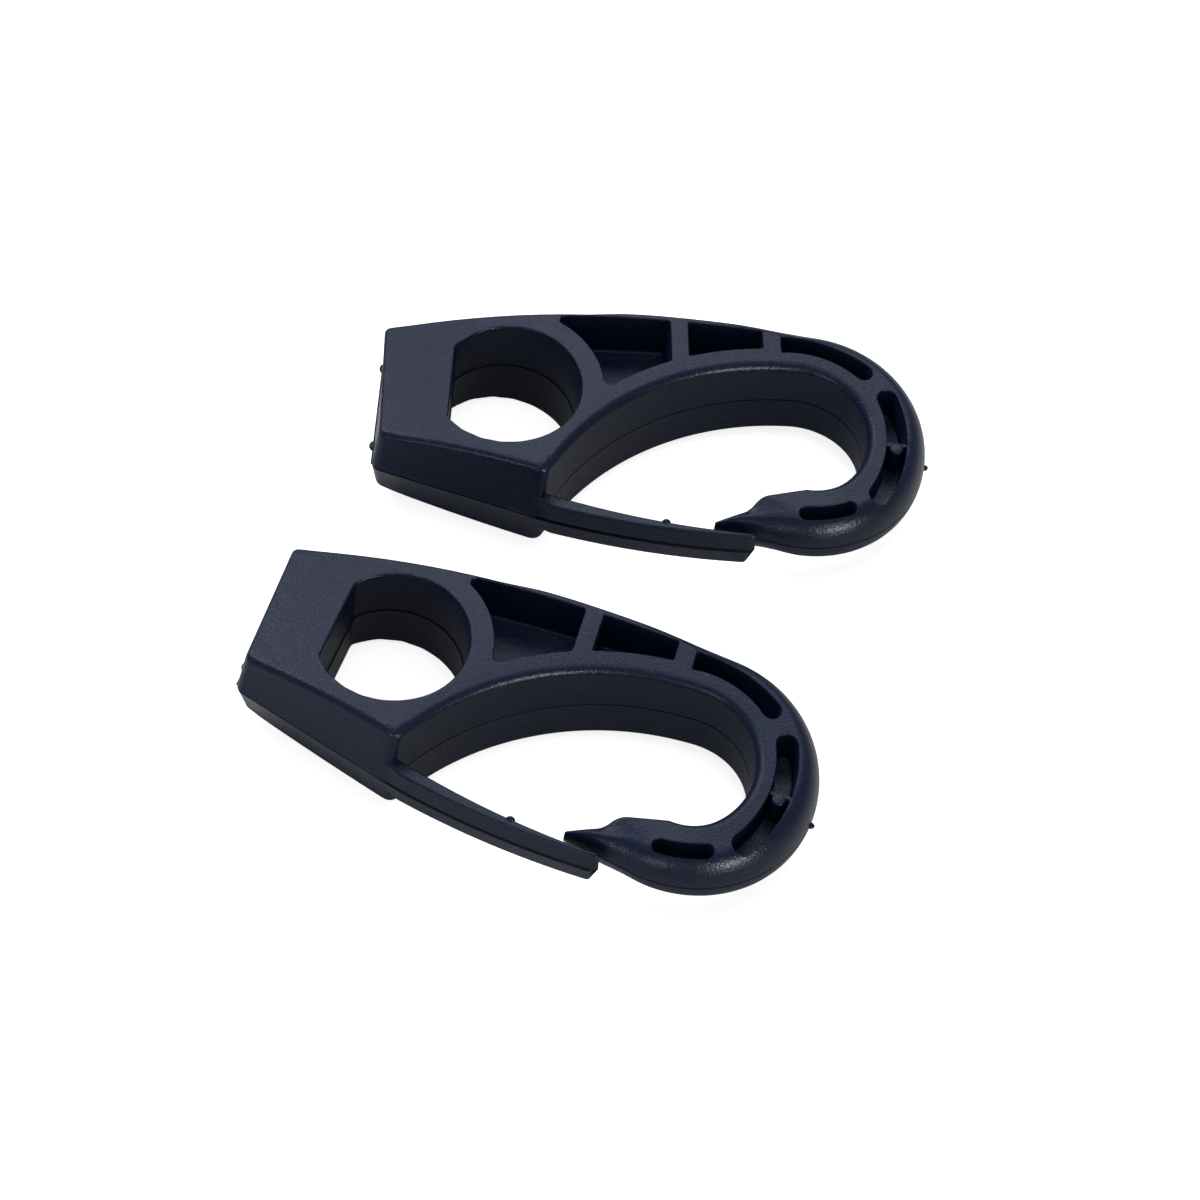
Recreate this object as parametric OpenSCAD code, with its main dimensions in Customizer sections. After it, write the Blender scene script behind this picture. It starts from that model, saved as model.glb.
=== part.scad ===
// A pair of one-piece moulded snap hooks lying side by side.
// Each hook is a body with a round tail bore, a ribbed spine, a rounded bend and a
// beaked nose, and a thin springy gate that grows out of the body at a living hinge.
// Plan shapes are drawn on the parting plane, z = 0; every wall leans in from there.

/* [Tail block] */
// Distance from the bore's centre to the tail end, at the front flank
tail_reach = 17.1; // [15.5:0.1:20]
// How far the tail's end face is set in at the spine
tail_skew = 1.1; // [0:0.1:2]
// Distance from the bore's centre to the front flank
front_reach = 13.5; // [13:0.05:15]
// Slope of the front flank against the hook's length, in degrees
front_slope = 18.3; // [15:0.1:21]
// Radius of the tail bore along its straight land
bore_r = 8.9; // [7:0.1:9.2]
// Length of the bore's straight land
bore_land = 3; // [1:0.5:6]
// How far the bore widens, in radius, from the land to each face
bore_flare = 0.4; // [0.1:0.1:0.8]
// Distance from the bore's centre to the flat on its tail side
bore_flat = 7.4; // [6.5:0.1:8.8]

/* [Spine] */
// Radius of the spine's long outer arc
spine_r = 223; // [180:1:300]
// Place along the hook where the spine arc is highest
crest_x = 15.6; // [10:0.2:18]
// Wall between the spine's outside and the pockets
rim_wall = 2.2; // [2:0.05:3]
// Wall between the bore's land and the first pocket
ring_wall = 3.15; // [2.6:0.05:4]
// Half thickness of the web between the pockets of the two faces
web_half = 0.9; // [0.5:0.1:1.5]
// Place of the first pocket's tail end
pocket_from = 6.8; // [5:0.1:8]
// Place of the first rib's middle
rib_1_x = 22; // [20:0.1:24]
// Place of the second rib's middle
rib_2_x = 34; // [31:0.1:36]
// Width of the first rib
rib_1_w = 2.2; // [1.5:0.1:3]
// Width of the second rib
rib_2_w = 2.3; // [1.5:0.1:3]

/* [Bend and loop] */
// Place of the bend's centre along the hook
bend_x = 38.5; // [37:0.1:42]
// Place of the bend's centre across the hook
bend_y = -3.1; // [-4:0.1:-2.5]
// Outer radius of the bend
bend_r = 15.5; // [14.8:0.1:17]
// How far the loop's centre lies behind the bend's centre
loop_back = 1.6; // [1:0.1:2]
// How far the loop's centre lies below the bend's centre
loop_drop = 0.9; // [0.5:0.1:1.2]
// Radius of the loop where it turns in the bend
loop_r = 8.9; // [8.5:0.1:9.5]
// Radius of the loop's long side under the spine
loop_long_r = 34.5; // [33:0.1:38]
// Angle before the top of the loop where the long side ends
loop_lean = 2.5; // [1:0.5:5]
// Radius of the loop's last turn into the throat
throat_r = 6; // [5:0.1:7]
// Wall between the loop and the first two pockets
long_wall = 3.1; // [2.5:0.1:3.5]
// Wall between the loop and the third pocket
loop_wall = 2.7; // [2:0.1:3]

/* [Nose] */
// Turn of the bend at which the nose's outside runs straight, in degrees
flank_turn = 103; // [101:0.5:107]
// Length of the nose's straight outside, up to the tip
flank_len = 9; // [8:0.1:10]
// Slope of the throat's floor in degrees
throat_slope = 11; // [7:1:14]
// Length of the beak's inner face, from the tip to the step
seat_len = 4.6; // [4:0.1:5.2]
// Slope of the beak's inner face in degrees
seat_slope = 19; // [16:1:22]
// Run of the step up from the beak to the nose's hump
step_run = 1.3; // [1.1:0.1:1.8]
// Blunt width of the beak's tip
tip_w = 0.5; // [0.4:0.05:0.8]

/* [Thickness] */
// Full thickness at the thickest place
crest_t = 15.4; // [13:0.1:17]
// Full thickness at the tail end
tail_t = 11.2; // [9:0.1:12.5]
// Full thickness at the nose
nose_t = 7.4; // [6.5:0.1:9]
// Full thickness at the beak's tip
tip_t = 2; // [1.6:0.1:4]

/* [Walls] */
// Lean of the block's front flank, as set-back per height
front_lean = 0.27; // [0.2:0.01:0.35]
// Lean of the spine's outer wall, as set-back per height
spine_lean = 0.25; // [0.1:0.01:0.26]
// Lean of the loop's wall, as set-back per height
loop_lean_in = 0.04; // [0.02:0.01:0.1]
// Lean of the tail's end face, as set-back per height
tail_lean = 0.07; // [0.05:0.01:0.2]
// Rounding of the block's top edges
edge_round = 0.5; // [0.3:0.1:0.8]
// Rounding of the loop's edges
loop_round = 1.1; // [0.6:0.1:1.4]
// Set-back of the rounded outside of the bend at its top
bend_round = 3; // [2:0.1:3.2]

/* [Slots in the bend] */
// Width of the long slot round the bend
slot_w = 2.8; // [2:0.1:3]
// Radius of the long slot's middle line
slot_r = 16; // [15.7:0.1:16.2]
// How far the long slot's centre lies behind the bend's centre
slot_back = 4.9; // [4.7:0.1:5.1]
// How far the long slot's centre lies below the bend's centre
slot_drop = 0.9; // [0.8:0.1:1.1]
// Angle of the long slot's upper end
slot_from = 21; // [10:1:22]
// Angle of the long slot's lower end
slot_to = -34; // [-35:1:-20]
// Angle of the post in the long slot
post_at = -7; // [-11:0.5:-3]
// Width of the slot in the nose
nose_slot_w = 2; // [1.5:0.1:2.2]
// Radius of the nose slot's middle line
nose_slot_r = 14.4; // [14.2:0.1:14.6]
// How far the nose slot's centre lies behind the bend's centre
nose_slot_back = 0.2; // [0:0.1:0.4]
// How far the nose slot's centre lies above the bend's centre
nose_slot_rise = 1.6; // [1.4:0.1:1.8]
// Angle of the nose slot's end at the bend
nose_slot_from = -71; // [-82:1:-70]
// Angle of the nose slot's end at the beak
nose_slot_to = -93; // [-94:1:-87]
// Diameter of the post that stands in the long slot
post_d = 1.75; // [1.2:0.05:2]
// Depth of the post's top under the face
post_drop = 0.7; // [0.3:0.1:1]
// Distance from the post's middle to the cross rib's
cross_rib_gap = 1; // [0.8:0.1:2]
// Thickness of the cross rib behind the post
cross_rib_w = 0.6; // [0.4:0.1:1]
// Depth of the cross rib's top under the face
cross_rib_drop = 1; // [0.8:0.1:2]

/* [Gate] */
// Thickness of the gate at its root
gate_root_t = 2.4; // [1.8:0.1:2.8]
// Thickness of the gate at its tip
gate_tip_t = 1.1; // [0.8:0.1:1.4]
// Height of the gate across its parting line
gate_h = 5.8; // [4.6:0.1:6.4]
// How far the gate's tip passes the beak's tip
gate_lap = 5.3; // [3:0.1:6]
// Gap between the gate's tip and the nose
gate_gap = 1.1; // [0.5:0.05:1.8]
// Slope of the gate at its root, in degrees
gate_slope = 15.8; // [14:0.1:18]
// Length of the stub by which the gate leaves the body
stub_len = 1.8; // [1.4:0.1:2.4]
// Length of the part of the gate that flexes
flex_len = 4.2; // [3.5:0.1:5]
// Lean of the gate's outer side, as set-back per height
gate_lean = 0.11; // [0.06:0.01:0.16]

/* [Pair] */
// Place of the second hook's bore along the first hook
pair_x = -14.1; // [-20:0.1:-5]
// Distance across from the first hook's bore to the second's
pair_y = 39.1; // [38:0.1:60]
// Turn of the second hook against the first, in degrees
pair_turn = 16.4; // [0:0.1:18]

/* [Hidden] */
$fn = 96;
cut = 0.5;                 // overrun of a cutter past a face
navy = "#232a3c";
navy_gate = "#2a3144";
navy_web = "#323a4f";

// ---- plane helpers ----
function unit(v) = v / norm(v);
function left(v) = [-v[1], v[0]];
function polar(c, r, a) = c + r * [cos(a), sin(a)];
function arc(c, r, a0, a1, n) = [for (i = [0:n]) polar(c, r, a0 + (a1 - a0) * i / n)];
function mix(a, b, t) = a * (1 - t) + b * t;
function line(a, b, n) = [for (i = [0:n]) mix(a, b, i / n)];
// Rounded corner at b: a quadratic curve that starts and ends d away from b
function corner(a, b, c, d, n) =
    let (p = b + d * unit(a - b), q = b + d * unit(c - b))
    [for (i = [0:n]) let (t = i / n) (1-t)*(1-t) * p + 2*t*(1-t) * b + t*t * q];
function tail_of(v, from) = [for (i = [from:len(v) - 1]) v[i]];
// Running length along a path
function run(p) = [for (i = 0, s = 0; i < len(p);
    s = s + (i < len(p) - 1 ? norm(p[i + 1] - p[i]) : 0), i = i + 1) s];
// Vector that moves corner i of path p one unit off both its edges, to the given side
function mitre(p, i, side) =
    let (n = len(p),
         a = unit(i > 0 ? p[i] - p[i-1] : p[1] - p[0]),
         b = unit(i < n-1 ? p[i+1] - p[i] : p[n-1] - p[n-2]),
         na = side * left(a), nb = side * left(b))
    (na + nb) / (1 + na * nb);

// ---- outlines on the parting plane ----
bend_c = [bend_x, bend_y];
loop_c = bend_c - [loop_back, loop_drop];
spine_c = [crest_x, bend_y - sqrt(pow(spine_r - bend_r, 2) - pow(bend_x - crest_x, 2))];
spine_end = atan2(bend_y - spine_c[1], bend_x - crest_x);
spine_tail = acos((tail_skew - tail_reach - crest_x) / spine_r);
loop_top = 90 - loop_lean;
long_c = loop_c - (loop_long_r - loop_r) * [cos(loop_top), sin(loop_top)];
throat_turn = -45;
throat_c = polar(loop_c, loop_r - throat_r, throat_turn);
throat_end = -(90 + throat_slope);
// Front flank line: its outward direction and its heading
front_out = [-sin(front_slope), -cos(front_slope)];
front_dir = [cos(front_slope), -sin(front_slope)];
// Root corner, where the front flank meets the loop's long side
root_off = front_reach - long_c * front_out;
root_half = sqrt(pow(loop_long_r, 2) - pow(root_off, 2));
root = long_c + root_off * front_out - root_half * front_dir;
root_turn = atan2(root[1] - long_c[1], root[0] - long_c[0]);
front_tail = front_reach * front_out
    + ((-tail_reach - front_reach * front_out[0]) / front_dir[0]) * front_dir;
// Nose
flank_dir = [-sin(flank_turn), -cos(flank_turn)];
flank_out = [cos(flank_turn), -sin(flank_turn)];
flank_start = polar(bend_c, bend_r, -flank_turn);
beak = flank_start + flank_len * flank_dir;
throat_floor = polar(throat_c, throat_r, throat_end);
step_foot = beak + seat_len * [cos(seat_slope), sin(seat_slope)];
hump_x = step_foot[0] + step_run;
hump = throat_floor - (throat_floor[0] - hump_x) * [1, tan(throat_slope)];
beak_in = beak - tip_w * flank_out;

// Stations: outer and inner points in pairs, from the tail to the beak
block_n = 9;
tail_steps = [0, 0.15, 0.5];
root_lead = 5;             // how far the spine's station runs ahead of the root corner's
root_top = acos((root[0] + root_lead - crest_x) / spine_r);
block_out = concat(
    [for (d = tail_steps) polar(spine_c, spine_r, spine_tail - d / spine_r * 180 / PI)],
    [for (i = [1:block_n]) polar(spine_c, spine_r, mix(spine_tail, root_top, i / block_n))]);
block_in = concat(
    [for (d = tail_steps) front_tail + d * front_dir],
    [for (i = [1:block_n]) mix(front_tail, root, i / block_n)]);
long_turn = root_turn < 0 ? root_turn + 360 : root_turn;
span_n = 16;
turn_n = 20;
throat_n = 9;
lip_n = 4;
outer_mid = -48;
outer_low = -94;
outer = concat(block_out,
    tail_of(arc(spine_c, spine_r, root_top, spine_end, span_n), 1),
    tail_of(arc(bend_c, bend_r, spine_end, outer_mid, turn_n), 1),
    tail_of(arc(bend_c, bend_r, outer_mid, outer_low, throat_n), 1),
    tail_of(arc(bend_c, bend_r, outer_low, -flank_turn, lip_n), 1),
    tail_of(line(flank_start, beak, 3 * lip_n + 1), 1));
// The two ends of the step are rounded, each within its own share of the step
step = norm(hump - step_foot);
hump_cut = min(1.1, 0.55 * step);
foot_cut = min(0.7, 0.35 * step);
inner = concat(block_in,
    tail_of(arc(long_c, loop_long_r, long_turn, loop_top, span_n), 1),
    tail_of(arc(loop_c, loop_r, loop_top, throat_turn, turn_n), 1),
    tail_of(arc(throat_c, throat_r, throat_turn, throat_end, throat_n), 1),
    tail_of(line(throat_floor, hump + hump_cut * unit(throat_floor - hump), lip_n), 1),
    tail_of(corner(throat_floor, hump, step_foot, hump_cut, lip_n), 1),
    corner(hump, step_foot, beak_in, foot_cut, lip_n),
    tail_of(line(step_foot + foot_cut * unit(beak_in - step_foot), beak_in, lip_n), 1));

// Half thickness at each station: an arch up to the crest, then a slow fall to the nose
count = len(outer);
block_last = len(block_out) - 1;
mid_run = run([for (i = [0:count - 1]) (outer[i] + inner[i]) / 2]);
nose_at = count - 1 - (2 * lip_n + 1) - lip_n;
arch_power = 2;
fall_power = 1.5;
tail_drop = [0.5, 0.15, 0];  // rounds the top edge of the tail's end face
lip_power = 1.5;
function half_t(i) =
    let (s = mid_run[i], sc = mid_run[block_last], sn = mid_run[nose_at], se = mid_run[count-1])
    s <= sc ? mix(crest_t, tail_t, pow(1 - s / sc, arch_power)) / 2
        - (i < len(tail_drop) ? tail_drop[i] : 0) :
    s <= sn ? mix(crest_t, nose_t, pow((s - sc) / (sn - sc), fall_power)) / 2 :
    mix(nose_t, tip_t, pow((s - sn) / (se - sn), lip_power)) / 2;

// ---- side profiles: set-back and height, from the parting plane up ----
prof_n = 6;
// Leaning wall with a rounded top edge
function flank(h, lean, r) = concat([[0, 0]],
    [for (k = [1:prof_n]) let (a = 90 * (k - 1) / (prof_n - 1))
        [lean * (h - r) + r * (1 - cos(a)), h - r + r * sin(a)]]);
// Quarter ellipse
function bulge(h, w) = [for (k = [0:prof_n]) let (a = 90 * k / prof_n)
    [w * (1 - cos(a)), h * sin(a)]];
function blend(p, q, t) = [for (k = [0:len(p) - 1]) mix(p[k], q[k], t)];
function smooth(t) = let (u = min(1, max(0, t))) u * u * (3 - 2 * u);

// Plan point lifted to height z, drawn along the hook by lean_x for each unit of height
function raised(p, z, lean_x) = [p[0] + lean_x * z, p[1], z];
// One ring of a limb: up the outer side, over the top, down the inner side, and back below
function ring(o, i, mo, mi, po, pi, lean_x) =
    let (n = len(po) - 1,
         ou = [for (k = [0:n]) raised(o + mo * po[k][0], po[k][1], lean_x)],
         iu = [for (k = [0:n]) raised(i + mi * pi[k][0], pi[k][1], lean_x)])
    concat(ou, [for (k = [n:-1:0]) iu[k]],
        [for (k = [1:n]) [iu[k][0], iu[k][1], -iu[k][2]]],
        [for (k = [n:-1:1]) [ou[k][0], ou[k][1], -ou[k][2]]]);

// Solid skinned over rings; its two ends are closed level by level
module skin(rings, n) {
    m = len(rings[0]);
    last = len(rings) - 1;
    side = [for (s = [0:last - 1], k = [0:m - 1])
        let (a = s*m + k, b = s*m + (k+1) % m, c = a + m, d = b + m)
        each [[a, c, b], [b, c, d]]];
    // Ring order: outer 0..n, inner n..0 (n+1..2n+1), inner below (2n+2..3n+1), outer below
    o = [for (k = [-n:n]) k >= 0 ? k : m + k];
    i = [for (k = [-n:n]) 2*n + 1 - k];
    cap0 = [for (k = [0:2*n - 1]) each [[o[k], o[k+1], i[k+1]], [o[k], i[k+1], i[k]]]];
    e = last * m;
    cap1 = [for (k = [0:2*n - 1]) each
        [[e + o[k], e + i[k+1], e + o[k+1]], [e + o[k], e + i[k], e + i[k+1]]]];
    polyhedron(points = [for (r = rings) each r], faces = concat(side, cap0, cap1), convexity = 8);
}

// ---- body ----
nose_round = 0.45;
edge_limit = 0.2;          // an edge rounding takes at most this share of the limb's width
bend_limit = 0.55;         // the same for the rounded outside of the bend
round_from = 10;           // distance past the crest at which the outside starts to round
round_run = 20;            // length over which it turns fully round
inside_run = 8;            // length over which the block's flank turns into the loop's wall
lip_run = 14;              // length over which the loop's edge sharpens into the nose's
function body_ring(j) =
    let (h = half_t(j), s = mid_run[j], sc = mid_run[block_last], sn = mid_run[nose_at],
         w = norm(outer[j] - inner[j]),
         round_t = smooth((s - sc - round_from) / round_run),
         in_t = smooth((s - sc) / inside_run),
         thin = smooth((s - sn + lip_run) / lip_run),
         edge = min(edge_round, edge_limit * w),
         po = blend(flank(h, spine_lean, edge), bulge(h, min(bend_round, bend_limit * w)), round_t),
         r_in = min(mix(mix(edge_round, loop_round, in_t), nose_round, thin), edge_limit * w),
         lean = mix(mix(front_lean, loop_lean_in, in_t), loop_lean_in / 2, thin),
         pi = flank(h, lean, r_in))
    ring(outer[j], inner[j], mitre(outer, j, -1), mitre(inner, j, 1), po, pi,
        j < len(tail_steps) ? tail_lean : 0);

module body_blank() {
    skin([for (j = [0:count - 1]) body_ring(j)], prof_n);
}

module bore() {
    top = crest_t / 2;
    slope_h = top - bore_land / 2;
    over = bore_flare * cut / slope_h;
    intersection() {
        union() {
            cylinder(h = crest_t, r = bore_r, center = true);
            for (s = [0, 1]) mirror([0, 0, s]) translate([0, 0, bore_land / 2])
                cylinder(h = slope_h + cut, r1 = bore_r, r2 = bore_r + bore_flare + over);
        }
        translate([-bore_flat, -2 * bore_r, -crest_t]) cube([4 * bore_r, 4 * bore_r, 2 * crest_t]);
    }
}

// Pocket plan: the strip between the spine's rim and the loop's wall, from x0 to x1
rim_r = spine_r - rim_wall;
// Outer side of the third pocket: an arc of its own, a little flatter than the bend
far_more = 2.4;
far_side = [3.1, 4.6];
far_r = bend_r + far_more;
far_c = bend_c - far_side;
under_r = loop_long_r + long_wall;
turn_r = loop_r + loop_wall;
function on_rim(x) = spine_c[1] + sqrt(rim_r * rim_r - pow(x - spine_c[0], 2));
function on_under(x) = long_c[1] + sqrt(under_r * under_r - pow(x - long_c[0], 2));
strip_n = 6;
end_n = 5;
ring_r = bore_r + ring_wall;
pocket_end = 50;

module strip(x0, x1) {
    polygon(concat(
        [for (i = [0:strip_n]) let (x = mix(x0, x1, i / strip_n)) [x, on_rim(x)]],
        [for (i = [strip_n:-1:0]) let (x = mix(x0, x1, i / strip_n)) [x, on_under(x)]]));
}

module pocket_1() {
    difference() {
        strip(pocket_from, rib_1_x - rib_1_w / 2);
        circle(r = ring_r);
    }
}

module pocket_2() {
    strip(rib_1_x + rib_1_w / 2, rib_2_x - rib_2_w / 2);
}

module pocket_3() {
    x0 = rib_2_x + rib_2_w / 2;
    far = arc(far_c, far_r, acos((x0 - far_c[0]) / far_r), pocket_end, strip_n);
    // The inner end lies straight across the strip from the outer end
    across = unit(bend_c - far[strip_n]);
    reach = (far[strip_n] - loop_c) * across;
    drop = -reach - sqrt(reach * reach - norm(far[strip_n] - loop_c) ^ 2 + turn_r * turn_r);
    foot = far[strip_n] + drop * across;
    near = arc(loop_c, turn_r, atan2(foot[1] - loop_c[1], foot[0] - loop_c[0]),
        acos((x0 - loop_c[0]) / turn_r), strip_n);
    w = norm(foot - far[strip_n]) / 2;
    mid = (foot + far[strip_n]) / 2;
    polygon(concat(far, tail_of(arc(mid, w, pocket_end, pocket_end - 180, end_n), 1),
        tail_of(near, 1)));
}

// Curved slots with round ends
slot_c = bend_c - [slot_back, slot_drop];
nose_slot_c = bend_c + [-nose_slot_back, nose_slot_rise];
slot_steps = 14;
nose_slot_steps = 5;
function band(c, r, a0, a1, w, n) = concat(
    arc(c, r + w / 2, a0, a1, n),
    tail_of(arc(polar(c, r, a1), w / 2, a1, a1 - 180, end_n), 1),
    tail_of(arc(c, r - w / 2, a1, a0, n), 1),
    arc(polar(c, r, a0), w / 2, a0 + 180, a0, end_n));
module long_slot() {
    polygon(band(slot_c, slot_r, slot_from, slot_to, slot_w, slot_steps));
}
module nose_slot() {
    polygon(band(nose_slot_c, nose_slot_r, nose_slot_from, nose_slot_to, nose_slot_w,
        nose_slot_steps));
}

module pockets() {
    for (s = [0, 1]) mirror([0, 0, s]) translate([0, 0, web_half]) {
        linear_extrude(height = crest_t) pocket_1();
        linear_extrude(height = crest_t) pocket_2();
        linear_extrude(height = crest_t) pocket_3();
        linear_extrude(height = crest_t) long_slot();
        linear_extrude(height = crest_t) nose_slot();
    }
}

// Half thickness of the bend at the post, from the station nearest to it
post = polar(slot_c, slot_r, post_at);
post_turn = atan2(post[1] - bend_y, post[0] - bend_x);
post_half = half_t(block_last + span_n
    + round(turn_n * (spine_end - post_turn) / (spine_end - outer_mid)));
post_sides = 32;
rib_bite = 0.1;            // how far the cross rib runs into each wall of the slot

module slot_post() {
    translate([post[0], post[1], 0])
        cylinder(h = 2 * (post_half - post_drop), d = post_d, center = true, $fn = post_sides);
}

module slot_rib() {
    turn = post_at + cross_rib_gap / slot_r * 180 / PI;
    place = polar(slot_c, slot_r, turn);
    translate([place[0], place[1], 0]) rotate(turn)
        cube([slot_w + 2 * rib_bite, cross_rib_w, 2 * (post_half - cross_rib_drop)],
            center = true);
}

// ---- gate: one arc-shaped leaf, cut across into stub, living hinge and leaf ----
root_bite = 0.6;           // how far the gate starts inside the block
gate_start = root - root_bite * front_dir;
gate_end = beak - gate_lap * flank_dir + (gate_gap + gate_tip_t) * flank_out;
gate_step = gate_end - gate_start;
gate_out = [-sin(gate_slope), -cos(gate_slope)];
gate_r = (gate_step * gate_step) / (2 * (gate_step * -gate_out));
gate_c = gate_start - gate_r * gate_out;
gate_turn = 2 * asin(norm(gate_step) / 2 / gate_r);
gate_a0 = atan2(gate_start[1] - gate_c[1], gate_start[0] - gate_c[0]);
gate_len = gate_r * gate_turn * PI / 180;
gate_in_lean = 0.08;
gate_edge = 0.25;
stub_end = root_bite + stub_len;
flex_end = stub_end + flex_len;
function gate_ring(s) =
    let (a = gate_a0 + gate_turn * s / gate_len,
         t = mix(gate_root_t, gate_tip_t, s / gate_len),
         lean = mix(front_lean, gate_lean, smooth(s / stub_end)),
         n = [cos(a), sin(a)], h = gate_h / 2)
    ring(gate_c + gate_r * n - t * n, gate_c + gate_r * n, n, -n,
        flank(h, gate_in_lean, gate_edge), flank(h, lean, gate_edge), 0);
module gate_part(s0, s1, n) {
    skin([for (i = [0:n]) gate_ring(mix(s0, s1, i / n))], prof_n);
}
stub_n = 2;
flex_n = 4;
leaf_n = 12;

module hook_body() {
    color(navy) union() {
        difference() {
            body_blank();
            bore();
            pockets();
        }
        slot_post();
        slot_rib();
        gate_part(0, stub_end, stub_n);
    }
}

module hook_hinge() {
    color(navy_web) gate_part(stub_end, flex_end, flex_n);
}

module hook_gate() {
    color(navy_gate) gate_part(flex_end, gate_len, leaf_n);
}

module second_place() {
    translate([pair_x, -pair_y, 0]) rotate(-pair_turn) children();
}

module hook_a_body() {
    hook_body();
}
module hook_a_living_hinge() {
    hook_hinge();
}
module hook_a_gate() {
    hook_gate();
}
module hook_b_body() {
    second_place() hook_body();
}
module hook_b_living_hinge() {
    second_place() hook_hinge();
}
module hook_b_gate() {
    second_place() hook_gate();
}

hook_a_body();
hook_a_living_hinge();
hook_a_gate();
hook_b_body();
hook_b_living_hinge();
hook_b_gate();
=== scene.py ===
import logging
import math
from dataclasses import dataclass, field
from enum import Enum

import bmesh
import bpy
import numpy as np
from mathutils import Matrix, Vector


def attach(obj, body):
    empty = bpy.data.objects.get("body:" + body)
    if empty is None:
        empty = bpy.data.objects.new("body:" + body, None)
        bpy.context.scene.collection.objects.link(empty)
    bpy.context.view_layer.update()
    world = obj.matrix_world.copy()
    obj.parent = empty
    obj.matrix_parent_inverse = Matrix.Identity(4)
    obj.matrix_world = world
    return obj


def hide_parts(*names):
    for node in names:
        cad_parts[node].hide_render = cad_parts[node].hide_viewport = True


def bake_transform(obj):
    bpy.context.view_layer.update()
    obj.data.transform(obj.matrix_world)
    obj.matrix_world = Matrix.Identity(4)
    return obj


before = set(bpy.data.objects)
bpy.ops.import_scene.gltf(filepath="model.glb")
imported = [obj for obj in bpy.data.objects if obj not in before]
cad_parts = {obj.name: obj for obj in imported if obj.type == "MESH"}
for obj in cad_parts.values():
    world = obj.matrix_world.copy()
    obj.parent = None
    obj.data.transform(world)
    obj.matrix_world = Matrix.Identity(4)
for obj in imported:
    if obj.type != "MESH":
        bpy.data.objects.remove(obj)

Array = np.ndarray
Colour = tuple[float, float, float]
MM = 0.001
SMOOTH_UNDER = 32.0
LOG = logging.getLogger("snap_hooks")


class Side(Enum):
    """The two faces of a hook, above and below its parting plane."""

    UPPER = 1.0
    LOWER = -1.0


class Cut(Enum):
    """What a tool solid does to a piece."""

    AWAY = "DIFFERENCE"
    ON = "UNION"


# ---------------------------------------------------------------- plane geometry


def polar(centre: Array, radius: float, degrees: Array) -> Array:
    """Points of a circle: centre + radius * (cos a, sin a), for an array of angles."""
    a = np.radians(np.asarray(degrees, float))
    return centre + radius * np.stack([np.cos(a), np.sin(a)], axis=-1)


def arc(centre: Array, radius: float, start: float, end: float, count: int) -> Array:
    """count + 1 points of a circle, evenly spaced from start to end in degrees."""
    return polar(centre, radius, np.linspace(start, end, count + 1))


def straight(a: Array, b: Array, count: int) -> Array:
    """count + 1 points from a to b: a (1 - t) + b t."""
    t = np.linspace(0.0, 1.0, count + 1)[:, None]
    return a * (1 - t) + b * t


def unit(v: Array) -> Array:
    """v divided by its length, for one vector or rows of vectors."""
    return v / np.linalg.norm(v, axis=-1, keepdims=True)


def rounded_corner(a: Array, b: Array, c: Array, cut: float, count: int) -> Array:
    """Quadratic curve (1-t)^2 p + 2t(1-t) b + t^2 q, with p and q at cut from the corner b."""
    p, q = b + cut * unit(a - b), b + cut * unit(c - b)
    t = np.linspace(0.0, 1.0, count + 1)[:, None]
    return (1 - t) ** 2 * p + 2 * t * (1 - t) * b + t**2 * q


def smooth(t: Array) -> Array:
    """Ease from 0 to 1: u^2 (3 - 2u), with u held between 0 and 1."""
    u = np.clip(t, 0.0, 1.0)
    return u * u * (3 - 2 * u)


def mitres(path: Array, side: float) -> Array:
    """Move of each corner that sets both of its edges back by one unit.

    With unit normals n and m of the two edges the move is (n + m) / (1 + n.m).

    Args:
        path: the open path, one point a row.
        side: 1 for the left of the path, -1 for its right.

    Returns:
        One move for each point.
    """
    edge = unit(np.diff(path, axis=0))
    normal = side * np.stack([-edge[:, 1], edge[:, 0]], axis=1)
    n = np.vstack([normal[:1], normal])
    m = np.vstack([normal, normal[-1:]])
    return (n + m) / (1 + np.sum(n * m, axis=1))[:, None]


def even_loop(loop: Array, step: float, blur: float) -> Array:
    """Closed outline with even steps and softly rounded corners.

    The outline is walked at even arc length, then each point becomes the mean of its
    neighbours within half the blur length, which rounds a corner and leaves a straight alone.
    It has 16 points at least.

    Args:
        loop: corner points of the outline, in order.
        step: distance between the new points.
        blur: length over which a corner is rounded.

    Returns:
        The new outline.
    """
    closed = np.vstack([loop, loop[:1]])
    s = np.concatenate([[0.0], np.cumsum(np.linalg.norm(np.diff(closed, axis=0), axis=1))])
    count = max(16, int(s[-1] / step))
    at = np.linspace(0.0, s[-1], count, endpoint=False)
    even = np.stack([np.interp(at, s, closed[:, k]) for k in (0, 1)], axis=1)
    reach = int(round(blur / step / 2))
    if reach < 1:
        return even
    turns = np.stack([np.roll(even, k, axis=0) for k in range(-reach, reach + 1)])
    return turns.mean(axis=0)


def outward(loop: Array) -> Array:
    """Unit normals of a closed outline, turned away from its inside by the sign of its area.

    Args:
        loop: the outline, one point a row.

    Returns:
        One normal for each point.
    """
    tangent = unit(np.roll(loop, -1, axis=0) - np.roll(loop, 1, axis=0))
    area = 0.5 * np.sum(
        loop[:, 0] * np.roll(loop[:, 1], -1) - np.roll(loop[:, 0], -1) * loop[:, 1]
    )
    return np.sign(area) * np.stack([tangent[:, 1], -tangent[:, 0]], axis=1)


# ---------------------------------------------------------------- meshes


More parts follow.
